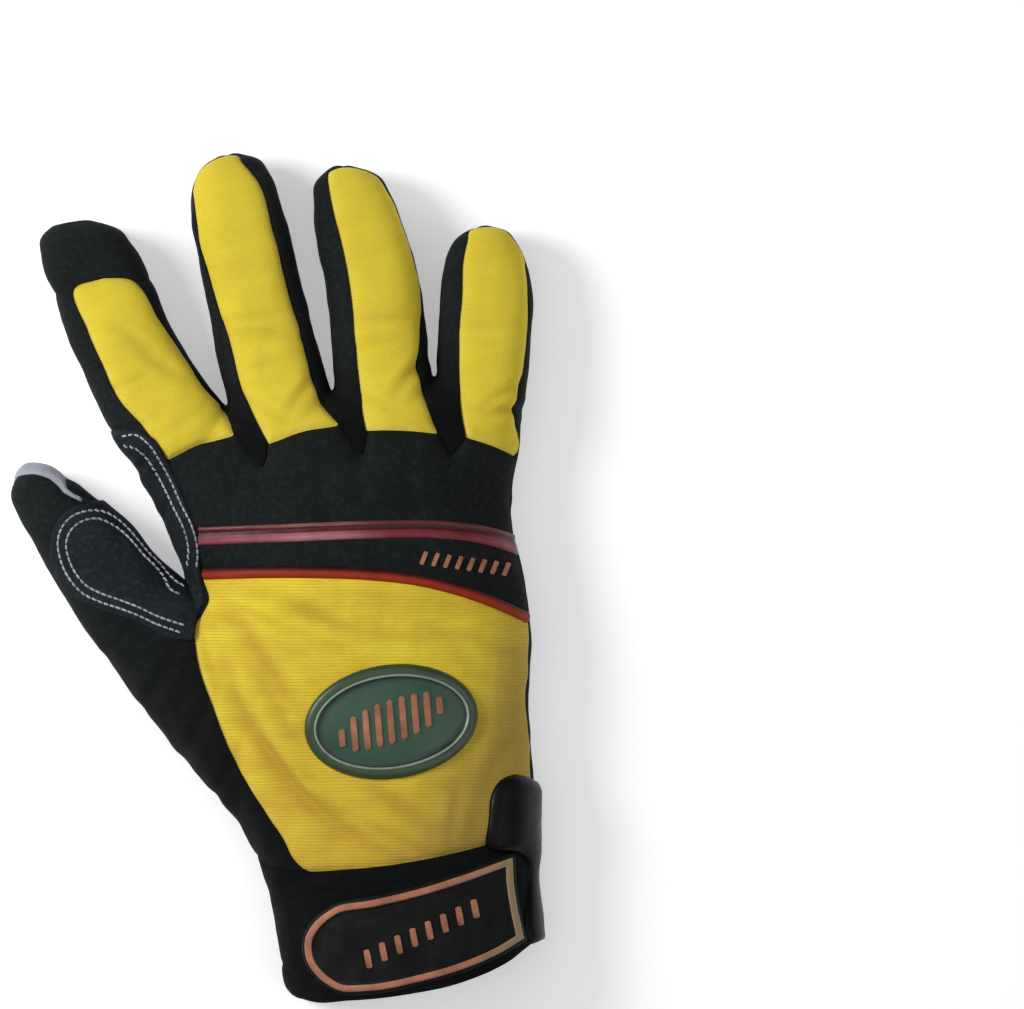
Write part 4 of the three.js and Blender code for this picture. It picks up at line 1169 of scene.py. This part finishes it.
def jersey_finish(name, light, dark, scale=1.0, sheen=0.0, shaded_below=None):
    """Fine stretch cloth with slanted threads and lint, with painted shade that darkens it below
    two places along y.
    """
    f = Finish(name, 0.8, Sheen_Weight=sheen, Sheen_Roughness=0.4, Specular_IOR_Level=0.08)
    place = f.place()
    x, y, _ = f.parts(f.pattern())
    turn = 2 * math.pi / (THREAD_PITCH * scale)
    rising, falling = (f.maths("SINE", f.maths("MULTIPLY", f.maths(way, x, y), turn))
                       for way in ("ADD", "SUBTRACT"))
    weave = f.maths("MULTIPLY_ADD", f.maths("MULTIPLY", rising, falling), 0.5, 0.5)
    fuzz = f.noise(place, 2400.0, 3.0)
    mottle = f.noise(place, 90.0, 4.0, 0.6)
    shade = f.maths("MULTIPLY_ADD", weave, 0.3, f.maths("MULTIPLY", mottle, 0.5))
    shade = f.summed(shade, (f.noise(place, 22.0, 2.0), 0.5, -0.2))
    lint = f.spread(f.noise(place, 620.0, 5.0, 0.75), 0.5, 0.72)
    lint_tone = tuple(min(LINT_GAIN * c, 1.0) for c in light)
    cloth = f.blend(f.spread(shade, 0.1, 0.9), dark, light)
    cloth = f.blend(f.maths("MULTIPLY", lint, 0.4), cloth, lint_tone)
    # Painted shade: darkest below the first place along y, gone by the second
    if shaded_below:
        shadow_tone, start, end = shaded_below
        cloth = f.blend(f.spread(f.parts(place)[1], start, end, 0.9, 0.0), cloth, shadow_tone)
    f.colour(cloth)
    f.bumps((weave, 0.5, 0.00016), (lint, 0.25, 0.0001), (fuzz, 0.3, 0.0001))
    return f.material


def suede_finish(name, light, dark):
    """Synthetic suede with a short brushed nap and small pores."""
    f = Finish(name, 0.92, Sheen_Weight=0.12, Sheen_Roughness=0.45, Specular_IOR_Level=0.15)
    place = f.place()
    nap = f.noise(f.scaled(place, (1.0, 0.35, 1.0)), 1800.0, 4.0, 0.7)
    mottle = f.noise(place, 120.0, 5.0, 0.65)
    pores = f.node("TexVoronoi", {"Vector": place, "Scale": 1400.0}).outputs["Distance"]
    shade = f.maths("MULTIPLY_ADD", mottle, 0.6, f.maths("MULTIPLY", nap, 0.35))
    shade = f.summed(shade, (f.noise(place, 30.0, 2.0), 0.4, -0.2))
    f.colour(f.blend(f.spread(shade, 0.2, 0.85), dark, light))
    f.bumps((nap, 0.5, 0.00022), (pores, 0.15, 0.0001))
    return f.material


def rubber_finish(name, light, dark, roughness, grain=900.0, bump=0.15, shine=0.5, faded=None):
    """Silicone, moulded rubber or plastic: smooth, a little dusty and scuffed, and faded towards
    the strap's straight end where it has a faded tone."""
    f = Finish(name, roughness, Specular_IOR_Level=shine)
    place = f.place()
    fine = f.noise(place, grain, 3.0)
    cover = f.blend(f.spread(f.noise(place, 140.0, 5.0, 0.65), 0.35, 0.75), dark, light)
    if faded:
        cover = f.blend(f.spread(f.parts(place)[0], 0.034, 0.05, 0.0, 0.85), cover, faded)
    f.colour(cover)
    f.rough(fine, roughness, 0.08)
    f.bumps((fine, bump, 0.0001))
    return f.material


def banded_finish(name, stops, roughness, shine):
    """A finish whose colour goes across the piece's own map, in bands as on a two-tone moulding;
    some bands are painted shade.
    """
    f = Finish(name, roughness, Specular_IOR_Level=shine)
    place = f.place()
    wear = f.noise(place, 160.0, 4.0, 0.65)
    f.colour(f.aged(f.ramp(f.parts(f.pattern())[1], stops), wear, 0.78, 1.15))
    f.rough(wear, roughness, 0.06)
    f.bumps((f.noise(place, 1200.0, 3.0), 0.2, 0.00008))
    return f.material


def film_finish(name, roughness, pale, deep, highlight):
    """Reflective film, its bands across it paler where it catches light, a painted highlight:
    highlight is how much, at places across the glove."""
    f = Finish(name, roughness, Specular_IOR_Level=0.35)
    u, v, _ = f.parts(f.pattern())
    wear = f.noise(f.place(), 240.0, 4.0, 0.65)
    ridges = f.noise(f.scaled(f.pattern(), (1.4, 26.0, 1.0)), 1.0, 3.0, 0.6)
    start, end = FILM_REACH
    stops = [((x - start) / (end - start), (share, share, share, 1)) for x, share in highlight]
    lit = f.ramp(f.spread(u, start / 10, end / 10), stops)
    lit = f.maths("MULTIPLY", lit, f.spread(ridges, 0.3, 0.7, 0.55, 1.15))
    pale, deep = (f.ramp(v, list(zip(FILM_BANDS, tones))) for tones in (pale, deep))
    f.colour(f.aged(f.blend(lit, deep, pale), wear, 0.72, 1.04))
    f.rough(wear, roughness, 0.06)
    f.bumps((ridges, 0.3, 0.0002))
    return f.material


# In both knits the fourth tone is painted shade in the creases; the back's last two tones are
# painted shade towards the heel and towards the little finger's side
yellow_knit = knit_finish(
    "ribbed_yellow_knit", tone(237, 214, 59), tone(205, 169, 50), tone(222, 204, 128),
    tone(168, 124, 46), 0.8, (tone(196, 150, 56), tone(154, 129, 63)))
finger_knit = knit_finish("fine_yellow_knit", tone(231, 210, 58), tone(206, 178, 50),
                          tone(224, 208, 136), tone(178, 142, 50), 0.25)
black_neoprene = jersey_finish("black_neoprene_jersey", tone(34, 38, 38), tone(16, 19, 19))
# The cuff's cloth has darker tones than the band's: painted shade, as the light falls off towards
# the wrist
cuff_cloth = jersey_finish("black_cuff_cloth", tone(16, 20, 18), tone(5, 8, 7))
# Painted shade towards the wrist, where the light falls off
black_cloth = jersey_finish("black_stretch_cloth", tone(36, 41, 41), tone(14, 17, 17), 0.9,
                            shaded_below=(tone(15, 17, 16), -0.07, 0.03))
# Painted shade down between the fingers, towards their roots
fourchette_cloth = jersey_finish("black_fourchette_cloth", tone(36, 41, 41), tone(14, 17, 17), 0.9,
                                 shaded_below=(tone(9, 11, 9), 0.04, 0.068))
patch_cloth = jersey_finish("black_canvas", tone(43, 49, 52), tone(19, 23, 25), 1.1)
lining = jersey_finish("dark_lining", tone(58, 60, 62), tone(34, 36, 38), 1.3, 0.05)
grey_suede = suede_finish("grey_suede", tone(182, 184, 196), tone(138, 140, 152))
black_rubber = rubber_finish("black_rubber", tone(27, 31, 28), tone(13, 15, 14), 0.55, shine=0.1)
black_gloss = rubber_finish("black_glossy_rubber", tone(13, 15, 13), tone(6, 7, 6), 0.36,
                            shine=0.12)
black_silicone = rubber_finish("black_silicone", tone(36, 38, 40), tone(20, 22, 23), 0.25)
white_thread = rubber_finish("white_thread", tone(190, 194, 208), tone(124, 130, 146), 0.75,
                             3000.0, 0.5)
orange_trim = rubber_finish("orange_trim", tone(188, 126, 94), tone(144, 92, 68), 0.5, shine=0.3)
trim_line = rubber_finish("faded_orange_trim", tone(188, 128, 98), tone(146, 96, 72), 0.5,
                          shine=0.3, faded=tone(148, 130, 98))
# The dark stops at the end of the map are painted shade along the piping's upper side
red_piping = banded_finish("red_piping", [
    (0.0, tone(140, 48, 12)), (0.3, tone(158, 46, 16)), (0.55, tone(148, 38, 20)),
    (0.72, tone(82, 19, 19)), (1.0, tone(52, 12, 16)),
], 0.55, 0.2)
tape_film = film_finish(
    "red_reflective_film", 0.4,
    [tone(176, 108, 118), tone(206, 148, 154), tone(186, 112, 122), tone(92, 20, 28),
     tone(84, 16, 24), tone(158, 110, 102), tone(134, 88, 84)],
    [tone(104, 24, 38), tone(128, 36, 50), tone(116, 28, 42), tone(72, 12, 20), tone(70, 12, 20),
     tone(108, 40, 44), tone(88, 30, 34)],
    [(-49, 0.1), (-30, 0.26), (-18, 0.75), (-8, 0.6), (4, 0.05), (28, 0.0), (34, 0.16), (44, 0.2)])
# The dark stop at 0.62 is painted shade at the foot of the badge's raised line
green_moulding = banded_finish("green_moulding", [
    (0.0, tone(48, 66, 38)), (0.4, tone(50, 72, 44)), (0.47, tone(46, 64, 42)),
    (0.5, tone(150, 168, 150)), (0.58, tone(150, 168, 150)), (0.62, tone(20, 40, 33)),
    (0.8, tone(32, 64, 50)), (1.0, tone(40, 78, 57)),
], 0.36, 0.5)


# The cloth, cut and sewn. A field is how far inside a piece each point lies, in mm.

def cuff_edge_distance(co):
    """How far each point lies up from the free edge of the cuff."""
    return co[:, 1] - height_on(CUFF_EDGE, co[:, 0])


def at_free_edge(co):
    return cuff_edge_distance(co) < 0.6


def cuff_field(co):
    seam = height_on(CUFF_SEAM, co[:, 0]) + CUFF_SEAM_SLOPE * (CUFF_SEAM_TOP - co[:, 2])
    return seam - co[:, 1]


def finger_back_field(co, back):
    root, rows, end = back["root"], back["rows"], back["end"]
    left = [root[0]] + [(l, y) for y, l, r in rows] + end[:1]
    right = end[-1:] + [(r, y) for y, l, r in reversed(rows)] + [root[2]]
    outline = np.concatenate([smooth_line(left), end, smooth_line(right), smooth_line(root[::-1])])
    return np.minimum(inside(co, outline), co[:, 2] - KNIT_EDGE)


def over_back(co, outline):
    return np.minimum(inside(co, outline), co[:, 2] - SEAM_TOP)


def thumb_front_field(co):
    """The grey front of the thumb, and the crescent of it that shows over the tip, which slants
    towards its outer end."""
    seam = smooth_line([turned(y, x, THUMB_LEAN) for y, x in THUMB_FRONT_SEAM])
    outline = np.concatenate([seam, THUMB_PALM_SEAM[:2], smooth_line(THUMB_PALM_SEAM[2:])])
    front = np.minimum(inside(co, outline), SEAM_PALM - co[:, 2])
    outer, low = np.clip((-91 - co[:, 0]) / 6, 0, 1), np.clip((15 - co[:, 2]) / 11, 0, 1)
    slant = np.column_stack([0 * outer, CRESCENT_SLANT * outer * low])
    return either(front, inside(co[:, :2] + slant, THUMB_CRESCENT), 2.5)


def palm_field(co):
    """The palm, with the fronts of the four fingers."""
    side = [(right - PALM_INSET, y) for y, left, right, rise, drop in HAND if -60 < y < PALM_ROOT]
    thumb_side = smooth_line(THUMB_PALM_SEAM[1:-3])[::-1]
    outline = np.concatenate([smooth_line(side), PALM_INDEX_EDGE, thumb_side, [(32, -70)]])
    field = inside(co, outline)
    for rows, start, stop in zip((INDEX, MIDDLE, RING, LITTLE), PALM_CROTCHES, PALM_CROTCHES[1:]):
        kept, last = rows[1:-3], rows[-1][0]
        left = smooth_line([start] + [(l + PALM_INSET, y) for y, l, r, _, _ in kept])
        right = smooth_line([stop] + [(r - PALM_INSET, y) for y, l, r, _, _ in kept])[::-1]
        end = [(left[-1, 0], last + 5), (right[0, 0], last + 5)]
        field = np.maximum(field, inside(co, np.concatenate([left, end, right])))
    return both_of(field, SEAM_PALM - co[:, 2])


body_co, body_tri = cloth_body()
body_normals = vertex_normals(body_co, body_tri)
base_surface = Surface(body_co, body_tri)
body = (np.column_stack([body_co, body_normals, crease_lift(body_co, body_normals)]), body_tri)
body, _ = split(body, cuff_edge_distance(body[0]))

cuff_patch, rest = split(body, cuff_field(body[0]))
finger_patches = {}
for finger, back in FINGER_BACKS.items():
    finger_patches[finger], rest = split(rest, finger_back_field(rest[0], back))

piping_run = smooth_line(PIPING_LINE)
band_edge = [smooth_line(run) if way == "curved" else run for way, run in BAND_EDGE]
band_outline = np.concatenate(band_edge + [[(62, -10)], piping_run[::-1], BAND_THUMB_EDGE])
back_outline = np.concatenate([piping_run, [(62, -10), (62, -75), (-10, -75)],
                               smooth_line(BACK_THUMB_EDGE)[::-1]])
band_patch, rest = split(rest, over_back(rest[0], band_outline))
back_patch, rest = split(rest, over_back(rest[0], back_outline))
cap_field = np.minimum(inside(rest[0], smooth_loop(CAP_OUTLINE)), rest[0][:, 2] - SEAM_PALM)
cap_patch, rest = split(rest, cap_field)
thumb_patch, rest = split(rest, thumb_front_field(rest[0]))
palm_patch, rest = split(rest, palm_field(rest[0]))

side_regions = {
    "index_side": CROTCH_LINE + [(-100, 150)] + INDEX_MIDDLE[::-1],
    "fourchette_index_middle": INDEX_MIDDLE + MIDDLE_MIDDLE[::-1],
    "fourchette_middle_ring": MIDDLE_MIDDLE + RING_MIDDLE[::-1],
    "fourchette_ring_little": RING_MIDDLE + LITTLE_MIDDLE[::-1],
    "little_side": LITTLE_MIDDLE + [(80, 150), (80, -90), (5, -90)],
}
side_patches = {}
for node, region in side_regions.items():
    side_patches[node], rest = split(rest, inside(rest[0], region))
side_patches["thumb_back"] = rest

sew_panel("cuff_cloth", cuff_patch, cuff_cloth, "cuff",
          thickness=PADDED_THICKNESS, free=at_free_edge, shaped=(hem_height, fold_height))
knuckle_band = sew_panel("knuckle_band_cloth", band_patch, black_neoprene, "knuckle_band",
                         relief=BAND_RELIEF, thickness=PADDED_THICKNESS)
sew_panel("back_panel_knit", back_patch, yellow_knit, "back_panel",
          grain=(0, 0, -8), relief=0.15)
for finger, patch in finger_patches.items():
    sew_panel("finger_back_" + finger + "_knit", patch, finger_knit, "finger_back_" + finger,
              grain=FINGER_BACKS[finger]["grain"], relief=0.25)
sew_panel("index_tip_cap_cloth", cap_patch, black_neoprene, "index_tip_cap",
          grain=(0, 0, 15), relief=-0.15, groove=0.12)
sew_panel("thumb_front_suede", thumb_patch, grey_suede, "thumb_front",
          grain=THUMB_GRAIN, relief=0.1)
sew_panel("palm_panel_suede", palm_patch, grey_suede, "palm_panel")
for node, patch in side_patches.items():
    sew_panel(node + "_cloth", patch, fourchette_cloth if "fourchette" in node else black_cloth,
              node, grain=THUMB_GRAIN if node == "thumb_back" else (0, 0, 0),
              relief=-0.15, groove=0.25)

skin_start = np.cumsum([0] + [len(co) for co, _ in cloth_skins[:-1]])
cloth = Surface(np.concatenate([co for co, _ in cloth_skins]),
                np.concatenate([tri + start for (_, tri), start in zip(cloth_skins, skin_start)]))


# Trim laid over the cloth

def cut_layer(outline, fine=True, palm=False):
    """A patch of the smooth body inside an outline, of its back or of its palm side."""
    def kept(co, room):
        level = SEAM_PALM - co[:, 2] if palm else co[:, 2] - EQUATOR
        return np.minimum(inside(co, outline), level) + room
    patch, _ = split(body, kept(body[0], 1.5))
    if fine:
        patch = finer(patch)
    patch, _ = split(patch, kept(patch[0], 0))
    return without_crumbs(patch)


def cloth_top(patch):
    return patch[0][:, 6] + PUFF


# Tape: a wide band and a thin line, with a gap between them
tape_line = smooth_line(TAPE_LINE)
tape_along = unit(np.gradient(tape_line, axis=0))
tape_across = np.stack([-tape_along[:, 1], tape_along[:, 0]], 1) * TAPE_HALF
tape_patch = cut_layer(np.concatenate([tape_line + tape_across, (tape_line - tape_across)[::-1]]))
tape_patch, _ = split(tape_patch, tape_patch[0][:, 2] - SEAM_TOP - 0.4)
offset = across_line(tape_patch[0], tape_line)
side_fall = rounded(tape_patch[0][:, 2] - SEAM_TOP, 5.0)
band_depth, line_depth = (np.minimum(offset - low, high - offset)
                          for low, high in ((-TAPE_HALF, 0.3), (1.3, TAPE_HALF)))
tape_height = (tape_patch[0][:, 6] + (PUFF + BAND_RELIEF) * (0.2 + 0.8 * side_fall) + 0.12
               + 0.3 * rounded(band_depth, 0.7) + 0.3 * rounded(line_depth, 0.4))
tape_uv = [tape_patch[0][:, 0] / 10, (offset + TAPE_HALF) / (2 * TAPE_HALF)]
moulded("reflective_tape_film", tape_patch, tape_height, tape_film, "reflective_tape",
        uv=np.stack(tape_uv, 1))

crotch_patch = cut_layer(smooth_loop(PATCH_OUTLINE), fine=False)
crotch_height = cloth_top(crotch_patch) + 0.12 + 0.6 * rounded(rim_distance(crotch_patch), 0.9)
moulded("crotch_patch_canvas", crotch_patch, crotch_height, patch_cloth, "crotch_patch",
        uv=plan_map(crotch_patch[0]))
patch_surface = Surface(raised(crotch_patch, crotch_height), crotch_patch[1])

# Strap: a plate with a sunk field, and a line let into it
strap_outline = np.concatenate([smooth_line(STRAP_OUTLINE), smooth_line(STRAP_END)[1:-1]])
plate_outline = grown(strap_outline, STRAP_BORDER)
strap_patch = cut_layer(plate_outline)
strap_patch, _ = split(strap_patch, cuff_edge_distance(strap_patch[0]) - 0.4)
strap_patch = without_crumbs(strap_patch)
plate_depth = inside(strap_patch[0], plate_outline)
sunk = np.clip((plate_depth - STRAP_BORDER - TRIM_WIDTH - 0.1) / 0.4, 0, 1)
strap_height = cloth_top(strap_patch) + PLATE_HEIGHT * rounded(plate_depth, 1.1) - 0.35 * sunk
moulded("wrist_strap_rubber", strap_patch, strap_height, black_rubber, "wrist_strap",
        uv=plan_map(strap_patch[0]))
strap_surface = Surface(raised(strap_patch, strap_height), strap_patch[1])


def trim_field(co):
    depth = inside(co, strap_outline)
    return np.minimum(depth, TRIM_WIDTH - depth)


trim_patch = without_crumbs(split(strap_patch, trim_field(strap_patch[0]))[0])
trim_top = cloth_top(trim_patch) + PLATE_HEIGHT
trim_rise = 0.3 * rounded(trim_field(trim_patch[0]), 0.6)
moulded("strap_trim_line", trim_patch, trim_top + trim_rise, trim_line, "strap_trim",
        bottom=trim_top - 0.5)

tab_outline = smooth_loop(TAB_OUTLINE)
tab_patch = cut_layer(tab_outline)
tab_height = cloth_top(tab_patch) * 0.6 + 2.4 * rounded(inside(tab_patch[0], tab_outline), 3.2)
moulded("closure_tab_rubber", tab_patch, tab_height, black_gloss, "closure_tab",
        uv=plan_map(tab_patch[0]))


# Rubber pads under the tips

def pad_outline(x, y, lean, half_width, neck, length):
    """A drop: a round end that narrows to a neck."""
    lean = math.radians(lean)
    side = [(half_width * math.sin(angle), half_width * (1 - math.cos(angle)))
            for angle in np.radians(range(0, 91, 10))]
    side += [(half_width * 0.97, length * 0.42), (neck * 1.16, length * 0.66),
             (neck, length * 0.84)]
    side = smooth_line(side, 0.8)
    end = [(neck * 0.8, length), (-neck * 0.8, length)]
    across, back = np.concatenate([side, end, side[::-1] * (-1, 1)])[:-1].T
    return np.stack([x + across * math.cos(lean) + back * math.sin(lean),
                     y + across * math.sin(lean) - back * math.cos(lean)], 1)


pad_outlines = {node: pad_outline(*row) for node, row in PADS.items()}
for node, outline in pad_outlines.items():
    pad_patch = cut_layer(outline, palm=True)
    depth = inside(pad_patch[0], outline)
    rise = 0.25 + 0.75 * rounded(depth, 1.4) + 0.12 * rounded(depth - 1.8, 0.8)
    pad_patch[0][:, 2] = np.maximum(pad_patch[0][:, 2], PALM_LEVEL)
    moulded(node + "_silicone", pad_patch, rise, black_silicone, node,
            uv=plan_map(pad_patch[0]))


# Rubber dots on the palm side: x, y, half sizes, turn in degrees and height

def flat_field(field):
    """A field of the palm side, read on the plan."""
    return lambda spots: field(np.column_stack([spots, np.full(len(spots), 1.0)]))


def pad_room(spots):
    """How far each spot lies from the pads, in mm."""
    return -np.max([inside(spots, outline) for outline in pad_outlines.values()], axis=0)


palm_room, thumb_room, cuff_room = map(flat_field, (palm_field, thumb_front_field, cuff_field))


def palm_dots():
    """Rows of large and small dots, the fine dots below the fingers and those up each finger."""
    dots = []
    for rows, half_x, half_y, height in ((LARGE_DOT_ROWS, 3.3, 3.5, 1.1 * DOT_HEIGHT),
                                         (SMALL_DOT_ROWS, 1.7, 1.85, DOT_HEIGHT)):
        for y, first, last, count in rows:
            dots += [(x, y, half_x, half_y, 0, height) for x in np.linspace(first, last, count)]
    # Five staggered rows of fine dots, and a sixth that leaves out the crotches of the fingers
    for k in range(6):
        for i in range(19):
            x = -56.4 + 5.4 * i + (2.7 if k % 2 else 0)
            if k < 5 or min(abs(x + 35.5), abs(x + 5), abs(x - 24.2)) >= 5:
                dots.append((x, 38.6 + 4.2 * k, 1.6, 1.85, 0, DOT_HEIGHT))
    # Up each finger, rows of two and of three by turns
    for points in FINGER_DOTS:
        line = smooth_line(points)
        lean = math.atan2(line[-1, 0] - line[0, 0], line[0, 1] - line[-1, 1])
        for k in range(int(run_of(line)[-1] / FINGER_DOT_PITCH) + 1):
            x, y = point_at(line, FINGER_DOT_PITCH * k)
            for share in ((-0.5, 0.5) if k % 2 else (-1, 0, 1)):
                step = FINGER_DOT_PITCH * share
                dots.append((x + step * math.cos(lean), y + step * math.sin(lean), 1.5, 1.9,
                             math.degrees(lean), DOT_HEIGHT))
    dots = np.array(dots)
    spots, half = dots[:, :2], dots[:, 2]
    return dots[(palm_room(spots) > 0.7 + 0.65 * half) & (pad_room(spots) > 2.0)
                & (cuff_room(spots) < -1.0 - half)]


def thumb_dots():
    """Long dots in slanted rows over the front of the thumb, clear of its seam with the palm."""
    dots = []
    for j in range(14):
        for i in range(22):
            along, across = 80 - 6.4 * i - (4.5 * j) % 6.4, -60 + 3.9 * j
            dots.append((*turned(along, across, THUMB_LEAN), 2.6, 1.55, -31, DOT_HEIGHT))
    dots = np.array(dots)
    spots = dots[:, :2]
    off_seam = np.abs(across_line(spots, smooth_line(THUMB_PALM_SEAM[1:6]))) > 3.4
    return dots[(thumb_room(spots) > 1.5) & (pad_room(spots) > 2.6) & (cuff_room(spots) < -3.0)
                & (off_seam | (spots[:, 1] > 16))]


dot = dot_shape()
for name, spots, room in (("palm_dots_silicone", palm_dots(), palm_room),
                          ("thumb_dots_silicone", thumb_dots(), thumb_room)):
    laid = laid_shapes(dot, spots, cloth, up=False, limit=lambda at: room(at) - 0.5, lowest=LOWEST)
    finish_piece(fill_mesh(name, *laid), [black_silicone])

stitched("crotch_patch_stitches", patch_surface, PATCH_STITCHES)
grip_bars("band_grip_bars", cloth, (14.5, 22), (37.5, 15.5), 8, 1.3, 4.2, 0.5)
grip_bars("strap_grip_bars", strap_surface, (-17.5, -90.5), (15, -80.5), 8, 1.9, 5.6, 0.5)

# Piping between the band and the back: a flattened roll, half sunk into the seam
piping_places, piping_normals = base_surface.many(piping_run[1:-1])
keep = piping_places[:, 2] > SEAM_TOP
piping_places, piping_normals = piping_places[keep], piping_normals[keep]
angles = np.arange(PIPING_SIDES) * 2 * math.pi / PIPING_SIDES
section = np.stack([1.65 * np.cos(angles), 1.05 * np.sin(angles) + 0.45], 1)
piping_co, piping_tri = sweep(piping_places, piping_normals, section)
piping_uv = np.zeros((len(piping_co), 2))
piping_uv[:-2, 0] = np.repeat(run_of(piping_places), PIPING_SIDES) / 10
piping_uv[:-2, 1] = np.tile(0.5 + 0.5 * np.cos(angles), len(piping_places))
finish_piece(fill_mesh("knuckle_piping_cord", piping_co, piping_tri, piping_uv), [red_piping],
             "knuckle_piping")


# Badge

def badge_moulding():
    """A moulded oval, drawn out ring by ring from its edge and bent over the back."""
    a, b = BADGE["half_length"], BADGE["half_width"]
    (inset, height), *rings = BADGE_RINGS
    start, steps = (a - inset, b - inset, height), []
    for further, higher in rings:
        steps.append(((a - further) / (a - inset), (b - further) / (b - inset), higher - height))
        inset, height = further, higher
    piece = drawn_out(96, start, steps)
    piece.name = "back_badge_moulding"
    co, _ = read_mesh(piece)
    co[:, :2] += (BADGE["x"], BADGE["y"])
    corners = np.zeros(len(piece.data.loops), np.int32)
    piece.data.loops.foreach_get("vertex_index", corners)
    set_map(piece.data, badge_map(co)[corners])
    spots, normals = base_surface.many(co[:, :2])
    laid = in_frame(spots + normals * co[:, 2:])
    piece.data.vertices.foreach_set("co", np.ascontiguousarray(laid, np.float32).ravel())
    piece.data.update()
    return piece


def badge_map(co):
    """Angle round the badge, and the inset from its edge in sixths of a centimetre."""
    x, y = co[:, 0] - BADGE["x"], co[:, 1] - BADGE["y"]
    low, high = np.zeros(len(co)), np.full(len(co), BADGE["half_width"] - 0.1)
    for _ in range(24):
        inset = (low + high) / 2
        out = ((x / (BADGE["half_length"] - inset)) ** 2
               + (y / (BADGE["half_width"] - inset)) ** 2 > 1)
        high, low = np.where(out, inset, high), np.where(out, low, inset)
    return np.stack([np.arctan2(y, x), np.clip(low / 6, 0, 1)], 1)


badge = finish_piece(badge_moulding(), [green_moulding], "back_badge")
badge_co, badge_tri = read_mesh(badge)
badge_surface = Surface(badge_co / MM - PLAN_PLACE, badge_tri)
grip_bars("badge_grip_bars", badge_surface, (-16, -26.2), (13, -20.8), 9, 1.9, 13, 0.6, taper=0.6)


# Floor, light and camera

bpy.ops.mesh.primitive_plane_add(size=40, location=(0, 0, 0))
floor = bpy.context.object
floor.name = "floor"
paper = Finish("pale_paper", 0.9, Specular_IOR_Level=0.1, Emission_Color=(1, 1, 1, 1),
               Emission_Strength=0.35)
paper.colour(paper.blend(paper.noise(paper.place(), 30.0, 3.0), tone(244, 244, 245),
                         tone(250, 250, 251)))
floor.data.materials.append(paper.material)

for name, place, aim, size, power in LAMPS:
    light = bpy.data.lights.new(name, "AREA")
    light.shape = "DISK"
    light.size, light.energy = size, power
    lamp = bpy.data.objects.new(name, light)
    lamp.location = place
    lamp.rotation_euler = (Vector(aim) - Vector(place)).to_track_quat("-Z", "Y").to_euler()
    bpy.context.scene.collection.objects.link(lamp)

world = bpy.data.worlds.new("studio")
world.use_nodes = True
background = world.node_tree.nodes["Background"]
background.inputs["Color"].default_value = (1, 1, 1, 1)
background.inputs["Strength"].default_value = 0.15
bpy.context.scene.world = world
bpy.context.scene.view_settings.view_transform = "Standard"

camera_data = bpy.data.cameras.new("camera")
camera_data.lens, camera_data.sensor_width = LENS, SENSOR
camera = bpy.data.objects.new("camera", camera_data)
camera.location = (*VIEW_MIDDLE, VIEW_WIDTH * LENS / SENSOR + EQUATOR * MM)
camera.rotation_euler = (0, 0, VIEW_TURN)
bpy.context.scene.collection.objects.link(camera)
bpy.context.scene.camera = camera
